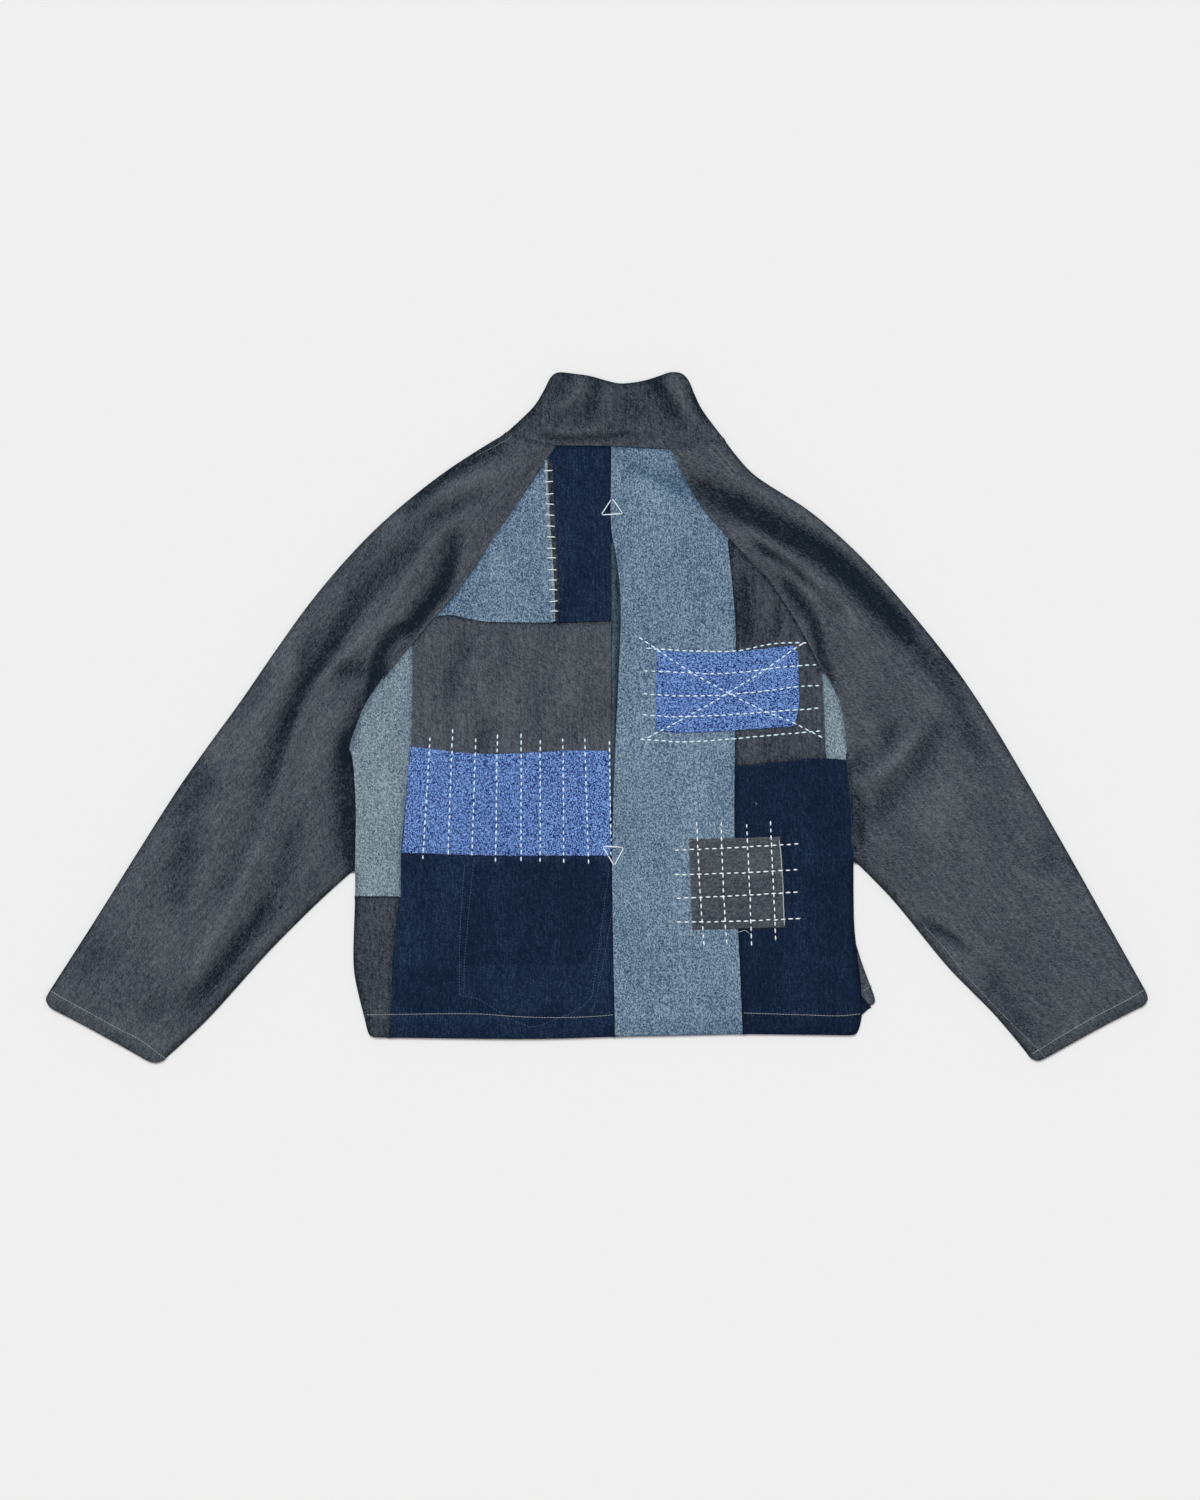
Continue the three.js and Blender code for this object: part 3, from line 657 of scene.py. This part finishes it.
@functools.cache
def cloth(kind, turn):
    """The material of one cloth with its warp turned by some degrees."""
    _, main, deep_dye_and_shade, wear_and_highlight, size, (by_fleck, by_grain, by_twill) = CLOTHS[kind]
    nodes = Nodes(f"{kind}_{round(turn)}".replace("-", "m"))
    place = nodes.add("TexCoord").outputs["Object"]
    flecks = nodes.noise(nodes.stretched(place, turn + 20, size, size * 1.5), 1.5, 0.6, 1.0)
    grain = nodes.noise(nodes.stretched(place, turn, 1.7, 9.0), 1.5, 0.6)
    twill = nodes.noise(nodes.stretched(place, turn + 55, 1.5, 6.0), 1.0, 0.5)
    slub = nodes.noise(nodes.stretched(place, turn, 3.4, 60.0), 1.5, 0.6)
    cloud = nodes.noise(nodes.stretched(place, turn, 40.0, 75.0), 3.0, 0.6)
    tone = nodes.add("Attribute", attribute_name="tone_and_shade").outputs["Fac"]
    for pattern, reach, by in ((flecks, 0.12, by_fleck), (grain, 0.17, by_grain), (twill, 0.17, by_twill),
                               (slub, 0.15, SLUB), (cloud, 0.17, CLOUD)):
        tone = nodes.math("ADD", tone, nodes.spread(pattern, 0.5 - reach, 0.5 + reach, -by, by))
    # Below 0 the colour goes towards the deep one, for unfaded dye and painted shade; above 0 towards the
    # pale one, for wear and painted highlights.
    dark = nodes.mix(nodes.math("MULTIPLY", tone, -1.0), linear(*main), linear(*deep_dye_and_shade))
    colour = nodes.mix(tone, dark, linear(*wear_and_highlight))
    relief = nodes.math("ADD", flecks, nodes.math("ADD", grain, twill))
    roughness = nodes.spread(flecks, 0.3, 0.7, 0.98, 0.88)
    return nodes.finish(colour, relief, roughness, 0.22)


def thread(name, colour, shade):
    """Twisted sewing thread: two shades in slanting bands, in steps along the strand."""
    nodes = Nodes(name)
    place = nodes.add("TexCoord").outputs["Object"]
    twist = nodes.noise(nodes.stretched(place, 30, 0.35, 0.9), 1.0, 0.5)
    colour = nodes.mix(nodes.spread(twist, 0.35, 0.65), linear(*shade), linear(*colour))
    return nodes.finish(colour, twist, 0.75, 0.12)


# ---- Panels ----
def cloths_of(nodes):
    """The names of the pieces that stand for these nodes."""
    return ["cloth_" + node for node in nodes]


def declare(made, node, kind, turn, outline, rests_on):
    """Hides the CAD node's own part, where there is one, since the piece stands for it."""
    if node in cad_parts:
        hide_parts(node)


def panel(node, layer, facts, level, rests_on):
    """One piece of a layer, with its seams, its turned-under edges and its hem."""
    kind, turn, _, tone = facts
    loop = layer.loops[node]
    relation = layer.relation[node]
    over, under, free = (layer.pieces_of([node], kind) for kind in (OVER, UNDER, FREE))
    is_hem = is_open(node, free)
    hems = (free[0][is_hem], free[1][is_hem])
    turned = (free[0][~is_hem], free[1][~is_hem])
    is_top = level is top_height
    is_sleeve = node.startswith("sleeve")
    depth = CUFF_DEPTH if is_sleeve else HEM_DEPTH
    tucked = np.where(relation == UNDER, TUCK, 0.0) * np.clip(distance_to(loop, free) / 8, 0, 1)
    tucked = (np.roll(tucked, 1) + tucked + np.roll(tucked, -1)) / 3
    inset = np.zeros(len(loop)) if is_top else 1.4 * (1 - ease(distance_to(loop, turned) / 9))
    outline = pushed(loop, inset - tucked)

    def top(places):
        height, fold = level(places, node)
        to_over = distance_to(places, over)
        to_under = np.where(inside(places, loop), distance_to(places, under), 0)
        to_hem = distance_to(places, hems)
        to_turned = distance_to(places, turned)
        height = height + SEAM_RISE * bell(to_over, SEAM_REACH) - SEAM_DROP * bell(to_under, SEAM_REACH)
        height += PUCKER * waves(places, 13, 11) * np.exp(-np.minimum(to_over, to_under) / 7)
        height += HEM_RISE * ease((depth - to_hem) / HEM_SLOPE)
        height -= HEM_GROOVE * bell(to_hem - depth, HEM_SLOPE)
        height -= EDGE_ROUND * (1 - quarter_round(np.minimum(to_over, to_hem), EDGE_ROUND_WIDTH))
        if is_top:
            height -= HEM_SINK * (1 - ease(to_hem / 18))
            height = FOLD_FOOT + (height - FOLD_FOOT) * quarter_round(to_turned, FOLD_ROLL)
        # The tone, with painted highlight and wear on a lapping edge, painted shadow beside it on the piece
        # below, painted shade where the cloth turns under and along hems and cuffs, and wear at a turn-up's
        # stitched end.
        tone_and_shade = tone + fold_shade_and_wear(fold) + LAP_WEAR_AND_HIGHLIGHT * np.exp(-to_over / 1.3)
        tone_and_shade -= (SLEEVE_UNDER_SHADE if is_sleeve else UNDER_SHADE) * np.exp(-to_under / 1.9)
        tone_and_shade -= TURNED_SHADE * np.exp(-((to_turned / 3.6) ** 1.5)) + HEM_SHADE * np.exp(-to_hem / 2.2)
        tone_and_shade += HEM_WORN * bell(to_hem - depth, 3.0)
        if node == "back_left_navy":
            tone_and_shade -= POCKET_SHADE * inside(places, rounded(POCKET_GHOST, STEP))
        return height, tone_and_shade

    def bottom(places, upper):
        if not is_top:
            return np.zeros(len(upper))
        doubled = ease((depth - distance_to(places, hems)) / HEM_SLOPE)
        lowest = np.where(distance_to(places, turned) < FOLD_ROLL, 0.05, LOWER_TOP + 0.15)
        return np.clip(upper - CLOTH * (1 + 0.75 * doubled), lowest, np.maximum(upper - 0.2, 0.02))

    made = shell("cloth_" + node, outline, top, bottom, cloth(kind, turn))
    declare(made, node, kind, turn, loop, rests_on)
    return made


def lower_height(places, name):
    """The lower layer lies flat on the surface."""
    return LOWER_TOP + 0.08 * waves(places, 30, 21), np.zeros(len(places))


def one_layer(places, upper):
    """The lower face of a single layer of cloth."""
    return upper - CLOTH


# ---- Centre pleat: the folded cloth that shows between the two lips ----
PLEAT_FOLDS = [
    ([(16.6, 214), (17.4, 150), (18.6, 100), (18.4, 40), (17.8, -20), (16.8, -84)], 1.0, 1.5, 1.5),
    ([(18.5, 220), (22.8, 150), (23.8, 100), (22.6, 30), (20.6, -40), (18, -150)], -1.3, 2.0, 2.0),
    ([(20, 90), (20, 20), (19, -50), (18, -130)], -0.5, 9, 9),
]


def centre_pleat():
    """The fold of cloth behind the slit, which lies between the fronts and the two lips."""
    _, high = (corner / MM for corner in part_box("centre_pleat"))
    outline = smooth_loop(upper_loops("centre_pleat")[0])

    def top(places):
        fold = fold_height(places, PLEAT_FOLDS)
        lying = high.z + 0.3 + fold + 0.2 * waves(places, 25, 31)
        # Its tone is darkened by painted shade, for it lies in the slit's shadow, with painted highlight on
        # its ridge and painted shade in its groove.
        return np.minimum(lying, top_height(places, "centre_pleat")[0] - CLOTH - 0.6), -0.3 + 0.26 * fold

    made = shell("cloth_centre_pleat", outline, top, one_layer, cloth("faded", 0.0), RINGS[:2], 1.7)
    declare(made, "centre_pleat", "faded", 0.0, outline, ["cloth_front_left", "cloth_front_right"])
    return made


# ---- Hand stitches ----
BAND_LINES = [
    [(-184, -22), (-188, -90), (-192, -156)], [(-159, -13), (-162, -85), (-164, -151)],
    [(-134, -23), (-136, -90), (-138, -152)], [(-110, -19), (-111, -90), (-112, -159)],
    [(-84, -18), (-84, -158)], [(-63, -25), (-63, -159)], [(-38, -23), (-37, -160)],
    [(-14, -23), (-12, -90), (-10, -161)], [(13, -26), (14, -90), (15, -152)],
]
BLUE_LINES = [
    [(54, 76), (103, 73), (152, 73), (194, 81), (230, 82)],
    [(51, 51), (103, 49), (131, 48), (173, 51), (201, 55), (241, 58)],
    [(50, 26), (75, 24), (131, 24), (166, 27), (194, 30), (222, 34), (244, 35)],
    [(50, 3), (75, 1), (131, 2), (187, 6), (243, 10)],
    [(47, -24), (96, -27), (145, -24), (187, -20), (245, -15)],
    [(46, 88), (99, 52), (143.5, 27), (181, 8), (215, -6), (247, -22.5)],
    [(55, -22.5), (108, 6), (143.5, 27), (181, 50), (217, 76), (226, 81)],
]
GREY_LINES = [
    [(85, -146), (153, -143), (221, -139)], [(85, -173), (153, -171), (220, -167.5)],
    [(87, -199), (153, -196), (220, -192)], [(87, -225), (155, -224), (223, -221)],
    [(109, -115), (112, -180), (117, -251)], [(136, -115), (138, -180), (142, -249)],
    [(164, -117), (167, -185), (169.5, -251)], [(190, -114), (193, -180), (196, -245)],
]
SEAM_STITCHES = [271, 259, 246, 234, 222.5, 210, 198, 186, 175, 162, 151, 140, 128, 117]
TRIANGLES = [
    [(4, 222.5), (28, 224), (16, 241)],
    [(5.5, -141.5), (29, -143), (18.5, -163)],
]


HAND_LOOSE = 0.25  # unevenness of hand stitches, and of a machine's
MACHINE_LOOSE = 0.04


class Surface:
    """The upper faces of the cloth, to lay thread on."""

    def __init__(self, things):
        points, faces = [], []
        for thing in things:
            start = len(points)
            points += [v.co[:] for v in thing.data.vertices]
            faces += [[start + v for v in p.vertices] for p in thing.data.polygons if p.normal.z > 0.1]
        self.tree = BVHTree.FromPolygons(points, faces)

    def height(self, x, y):
        found = self.tree.ray_cast(Vector((x * MM, y * MM, 0.1)), Vector((0, 0, -1)))[0]
        return 0.0 if found is None else found.z / MM


class Strands:
    """Many short lengths of thread, gathered into one mesh."""

    def __init__(self):
        self.points = []
        self.faces = []

    def add(self, path, radii, sides=8, ply=0.0):
        """A tube along `path`. `ply` is how deep the two plies' twist is cut, as a share of the radius."""
        path = np.asarray(path, float)
        tangent = np.gradient(path, axis=0)
        tangent /= np.linalg.norm(tangent, axis=1)[:, None]
        across = np.cross(tangent, (0.0, 0.0, 1.0))
        across /= np.linalg.norm(across, axis=1)[:, None] + 1e-9
        rising = np.cross(across, tangent)
        turn = np.arange(sides) * math.tau / sides
        start = len(self.points)
        run = np.concatenate([[0], np.cumsum(np.linalg.norm(np.diff(path, axis=0), axis=1))])
        for place, radius, a, b, s in zip(path, radii, across, rising, run):
            size = radius * (1 + ply * np.cos(2 * turn + s * math.tau / 3.2))
            ring = place + np.outer(size * np.cos(turn), a) + np.outer(size * np.sin(turn), b)
            self.points.extend(ring.tolist())
        for ring in range(len(path) - 1):
            for side in range(sides):
                a, b = (start + ring * sides + k for k in (side, (side + 1) % sides))
                self.faces.append((a, b, b + sides, a + sides))
        self.faces.append([start + k for k in range(sides)][::-1])
        self.faces.append([start + (len(path) - 1) * sides + k for k in range(sides)])

    def stitch(self, surface, start, end, radius, ply=0.14):
        """A stitch that comes up at one place, lies on the cloth, and goes down at the other."""
        share = np.linspace(0, 1, 9)
        flat = np.outer(1 - share, start) + np.outer(share, end)
        bow = np.sin(math.pi * share) ** 0.55
        rise = radius * (-0.9 + 1.75 * bow)
        height = [surface.height(x, y) + up for (x, y), up in zip(flat, rise)]
        self.add(np.column_stack([flat, height]), radius * (0.55 + 0.45 * bow), 8, ply)

    def running(self, surface, line, pitch, dash, radius, loose):
        """Running stitches along a line; `loose` is how uneven they are."""
        path = rounded(line, 1.0)
        run = np.concatenate([[0], np.cumsum(np.hypot(*np.diff(path, axis=0).T))])
        count = max(1, round((run[-1] + pitch - dash) / pitch))
        pitch = (run[-1] - dash) / max(1, count - 1)
        for k in range(count):
            ends = k * pitch + np.array([0, dash]) + np.array([-1, 1]) * random.gauss(0, loose)
            places = [[np.interp(s, run, path[:, axis]) for axis in (0, 1)] for s in ends]
            sway = random.gauss(0, loose * 0.8)
            across = np.array([places[0][1] - places[1][1], places[1][0] - places[0][0]])
            across = across / np.hypot(*across) * sway
            size = radius * random.uniform(0.92, 1.08)
            self.stitch(surface, places[0] + across, places[1] + across * 0.4, size)

    def make(self, name, material):
        points = np.array(self.points)
        points[:, 2] = np.maximum(points[:, 2], 0.0)
        return make_object(name, points, self.faces, material)


def sew(name, surface, lines, material, pitch, dash, radius, loose=HAND_LOOSE):
    """Rows of running stitches, as one mesh."""
    strands = Strands()
    for line in lines:
        strands.running(surface, line, pitch, dash, radius, loose)
    strands.make(name, material)


def hand_sewing(surface):
    """The rows on the patches, the bars over the navy strip's seam, and the two triangles."""
    cream = thread("cream_thread", (244, 253, 255), (226, 239, 244))
    white = thread("white_thread", (230, 249, 255), (210, 234, 250))  # a bluish white, for the rows on the bright blue cloth
    sew("stitches_band", surface, BAND_LINES, white, pitch=7.7, dash=4.5, radius=0.85)
    sew("stitches_blue", surface, BLUE_LINES, white, pitch=7.9, dash=5.0, radius=0.82)
    sew("stitches_grey", surface, GREY_LINES, cream, pitch=8.1, dash=5.0, radius=0.8)
    strands = Strands()
    for y in SEAM_STITCHES:
        left = np.interp(y, [117, 271], [-53, -59])
        strands.stitch(surface, (left, y + random.gauss(0, 0.5)), (left + 10, y + random.gauss(0, 0.5)), 0.62)
    strands.make("stitches_seam", cream)
    strands = Strands()
    for corners in TRIANGLES:
        for start, end in zip(corners, corners[1:] + corners[:1]):
            strands.stitch(surface, start, end, 0.6, 0.1)
    strands.make("stitches_triangles", cream)


# ---- Machine stitches ----
HEM_LINES = [
    [(-254, -327), (-134, -326), (-87, -329), (-47, -330), (-8, -329), (17, -327)],
    [(161, -325), (227, -327), (268, -328), (289, -326)],
    [(293, -301), (302, -295.5)],
]
CUFF_LINES = [
    [(-601, -301), (-540, -335), (-499, -357), (-476, -375)],
    [(478, -370), (512, -349), (541, -332), (574, -315), (603, -299)],
]
TOPSTITCH_LINES = [
    [(360, -231), (377, -248), (404, -282), (437, -318), (481, -362), (492, -374)],
    [(-133, 288), (-99, 306), (-94, 310)],
    [(127, 300), (153, 270)],
    [(123, 296), (149, 267)],
]
POCKET_LEFT = [(-146, -163), (-148, -188), (-151, -233), (-152, -305)]
POCKET_LEFT_INNER = [(-135, -154), (-139, -185), (-143, -230), (-146, -265), (-147, -303)]
POCKET_RIGHT = [(13, -165), (8, -202), (3, -241), (-1, -272), (-6, -307)]
POCKET_RIGHT_OUTER = [(17, -209), (11, -243), (6, -272), (1, -297), (-6, -324)]
POCKET_FOOT = [(-152, -305), (-131, -310), (-117, -318), (-95, -332), (-70, -340), (-47, -332), (-22, -322),
               (-6, -307)]
POCKET_GHOST = [*POCKET_LEFT, *POCKET_FOOT[1:], *POCKET_RIGHT[::-1], POCKET_LEFT[0]]


def machine_sewing(surface):
    """The stitches of the hem, the cuffs and the collar's corners, and the unpicked pocket's mark."""
    pale = thread("pale_thread", (176, 183, 186), (132, 140, 145))
    for name, lines, radius in (("hem_stitches", HEM_LINES, 0.38), ("cuff_stitches", CUFF_LINES, 0.38),
                                ("topstitches", TOPSTITCH_LINES, 0.22)):
        sew(name, surface, lines, pale, pitch=3.2, dash=2.7, radius=radius, loose=MACHINE_LOOSE)
    faded = thread("unpicked_thread", (104, 120, 146), (74, 90, 118))
    pocket = (POCKET_LEFT, POCKET_LEFT_INNER, POCKET_RIGHT, POCKET_RIGHT_OUTER, POCKET_FOOT)
    sew("pocket_mark", surface, pocket, faded, pitch=3.2, dash=2.0, radius=0.26, loose=0.1)


# ---- Patches ----
PATCH_LINES = {"patch_band": BAND_LINES, "patch_blue": BLUE_LINES, "patch_charcoal": GREY_LINES}


def patch(node, kind, turn, tone):
    """A raw-edged patch, drawn down along its rows of stitches."""
    outline = smooth_loop(upper_loops(node)[0])
    outline = pushed(outline, 0.35 * waves(outline, 9, 41) + 0.3 * waves(outline, 28, 43))

    def top(places):
        height, _ = top_height(places, "body")
        to_edge = loop_distance(places, outline)
        to_line = np.min([nearest_on(places, rounded(line, 4.0))[0] for line in PATCH_LINES[node]], axis=0)
        height += PATCH_TOP - 0.5 * np.exp(-to_edge / 2.5)
        height -= PATCH_DRAW * bell(to_line, 2.0)
        height += 0.16 * waves(places, 15, 47) * np.exp(-to_line / 9)
        height -= 0.4 * (1 - quarter_round(to_edge, 0.7))
        # The tone, with painted shade along the rows of stitches and wear on the raw edge.
        return height, tone - ROW_SHADE * bell(to_line, 1.6) + RAW_WORN * np.exp(-to_edge)

    return shell("cloth_" + node, outline, top, one_layer, cloth(kind, turn), RINGS[:4], 2.1), outline


FRINGE_LENGTH = 1.8
FRINGE_RADIUS = 0.17
FRINGE_SHARE = 1.0  # share of an outline's points that have a loose thread


def fringe(name, surface, outline, material):
    """Short loose threads that stand out of a raw edge."""
    strands = Strands()
    outward = outline - pushed(outline, np.ones(len(outline)))
    for place, out in zip(outline, outward):
        if random.random() > FRINGE_SHARE:
            continue
        beside = np.array([-out[1], out[0]])
        root = place + beside * random.uniform(-STEP / 2, STEP / 2) - out * 0.6
        lean = beside * random.gauss(0, 0.5)
        tip = root + (out + lean) * random.uniform(0.5, 1.0) * FRINGE_LENGTH
        middle = (root + tip) / 2 + beside * random.gauss(0, 0.3)
        top = surface.height(*(root - out * 0.6))
        path = [(*root, top - 0.35), (*middle, top - 0.5), (*tip, surface.height(*tip) + FRINGE_RADIUS)]
        strands.add(path, [FRINGE_RADIUS, FRINGE_RADIUS, FRINGE_RADIUS * 0.6], 5)
    return strands.make(name, material)


# ---- Selvage and loose threads ----
SELVAGE_LINE = [(-55.6, 283), (-54.4, 262), (-50.9, 200), (-48.0, 150), (-46.6, 106)]


def ribbon(name, surface, line, sides, lift, material, tone_and_shade):
    """A narrow strip on the cloth, between two distances from a line, above 0 on the line's left."""
    path = rounded(line, 2.0)
    run = np.gradient(path, axis=0)
    run /= np.hypot(*run.T)[:, None]
    across = np.stack([-run[:, 1], run[:, 0]], 1)
    points = []
    for side, seed in zip((sides[0], sum(sides) / 2, sides[1]), (61, 62, 63)):
        ragged = 0.35 * waves(path, 5, seed)
        for place in path + across * (side + ragged)[:, None]:
            points.append((*place, surface.height(*place) + lift))
    points = np.array(points)
    index = np.arange(len(points)).reshape(3, -1)
    corners = (index[:-1, :-1], index[:-1, 1:], index[1:, 1:], index[1:, :-1])
    faces = np.stack([corner.ravel() for corner in corners], 1)
    lower = points - (0, 0, lift + 0.3)
    return wall(name, points, lower, faces, material, np.full(len(points), tone_and_shade))


def selvage(surface):
    """The dark woven edge of the navy cloth beside its seam, and the pale frayed edge that laps it."""
    dark = ribbon("selvage_dark", surface, SELVAGE_LINE, (0.2, 5.6), 0.25, cloth("charcoal", 0.0), -0.72)
    dark.parent = bpy.data.objects["cloth_back_left_navy_strip"]
    pale = ribbon("selvage_pale", surface, SELVAGE_LINE, (-2.6, 0.2), 0.45, cloth("pale", 0.0), 0.15)
    pale.parent = bpy.data.objects["cloth_back_left_light"]
    return [dark, pale]


LOOSE_THREADS = [
    # path and radius; the first is the frayed right edge of the charcoal patch
    ([(199.5, -134), (201.5, -150), (203, -172), (204.2, -200), (205.6, -229)], 0.55),
    ([(149, -231), (155, -236), (162, -234), (168, -238.5)], 0.3),
    ([(172, -93), (174.5, -94.5), (174, -97)], 0.18),
    ([(104, -135), (99.5, -138), (98, -144)], 0.25),
]


def loose_threads(surface):
    """A few frayed ends that lie on the cloth."""
    strands = Strands()
    for line, radius in LOOSE_THREADS:
        path = rounded(line, 1.5)
        path = path + np.stack([0.3 * waves(path, 9, 71), 0.3 * waves(path, 9, 72)], 1)
        heights = np.array([surface.height(x, y) for x, y in path]) + radius * 0.6
        taper = ease(np.minimum(np.arange(len(path)), np.arange(len(path))[::-1]) / 3 + 0.3)
        strands.add(np.column_stack([path, heights]), radius * taper, 6)
    strands.make("loose_threads", thread("frayed_thread", (196, 202, 202), (150, 158, 162)))


# ---- The jacket ----
upper_loop_of = {node: smooth_loop(upper_loops(node, 3.0)[0]) for node in UPPER}
lower_loop_of = {node: smooth_loop(upper_loops(node)[0]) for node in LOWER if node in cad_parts}
collar_ends = sorted(upper_loops("collar", 1.5, 3.0), key=lambda loop: loop[:, 0].mean())
lower_loop_of["collar_front_left"], lower_loop_of["collar_front_right"] = map(smooth_loop, collar_ends)
upper_layer = Layer(upper_loop_of, {node: facts[2] for node, facts in UPPER.items()})
lower_layer = Layer(lower_loop_of, {node: facts[2] for node, facts in LOWER.items()})
# The functions above read these three.
outer_edge = upper_layer.pieces_of(UPPER, FREE)
arm_seams = upper_layer.pieces_of(["sleeve_left_back", "sleeve_right_back"], OVER)
hem_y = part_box("back_left_navy")[0].y / MM

made_pieces = [centre_pleat()]
for node, facts in LOWER.items():
    made_pieces.append(panel(node, lower_layer, facts, lower_height, ["floor"]))
for node, (*facts, below) in UPPER.items():
    made_pieces.append(panel(node, upper_layer, facts, top_height, cloths_of(below)))
selvages = selvage(Surface(made_pieces))
patch_outlines = {}
for node, (kind, turn, tone, below) in PATCHES.items():
    made, patch_outlines[node] = patch(node, kind, turn, tone)
    declare(made, node, kind, turn, patch_outlines[node], cloths_of(below))
    made_pieces.append(made)
top_surface = Surface(made_pieces + selvages)
for node, outline in patch_outlines.items():
    frayed = fringe("fringe_" + node, top_surface, outline, cloth(PATCHES[node][0], 0.0))
    frayed.parent = bpy.data.objects["cloth_" + node]
loose_threads(top_surface)
hand_sewing(top_surface)
machine_sewing(top_surface)


# ---- Stage, light and camera ----
def stage():
    """A plain pale floor, a hair below the cloth."""
    size = 60.0
    mesh = bpy.data.meshes.new("floor")
    corners = [(-size, -size), (size, -size), (size, size), (-size, size)]
    mesh.from_pydata([(x, y, -0.0004) for x, y in corners], [], [(0, 1, 2, 3)])
    nodes = Nodes("pale_floor")
    surface = nodes.add("BsdfPrincipled", {"Base Color": (0.84, 0.84, 0.84, 1), "Roughness": 0.9,
                                           "Specular IOR Level": 0.1})
    nodes.tree.links.new(surface.outputs[0], nodes.add("OutputMaterial").inputs[0])
    mesh.materials.append(nodes.material)
    floor = bpy.data.objects.new("floor", mesh)
    bpy.context.scene.collection.objects.link(floor)


def light():
    """An even pale surround, and one soft light from beyond the collar that models the folds."""
    world = bpy.data.worlds.new("studio")
    bpy.context.scene.world = world
    world.use_nodes = True
    background = world.node_tree.nodes["Background"].inputs
    background["Color"].default_value = (1, 1, 1, 1)
    background["Strength"].default_value = 0.44
    data = bpy.data.lights.new("key", "SUN")
    data.angle = math.radians(32)
    data.energy = 2.26
    made = bpy.data.objects.new("key", data)
    made.location = (-0.5, 2.0, 3.0)
    made.rotation_euler = (-made.location).to_track_quat("-Z", "Y").to_euler()
    bpy.context.scene.collection.objects.link(made)
    bpy.context.scene.view_settings.view_transform = "Standard"


def camera():
    """Straight above the jacket, with its collar at the top of the picture."""
    shown = 1.65  # height of the picture on the jacket, in metres
    distance = 4.0
    data = bpy.data.cameras.new("camera")
    data.sensor_width = 36
    data.lens = data.sensor_width * distance / shown
    made = bpy.data.objects.new("camera", data)
    made.location = (0.00275, -0.0358, distance + EDGE_TOP * MM)
    bpy.context.scene.collection.objects.link(made)
    bpy.context.scene.camera = made


stage()
light()
camera()
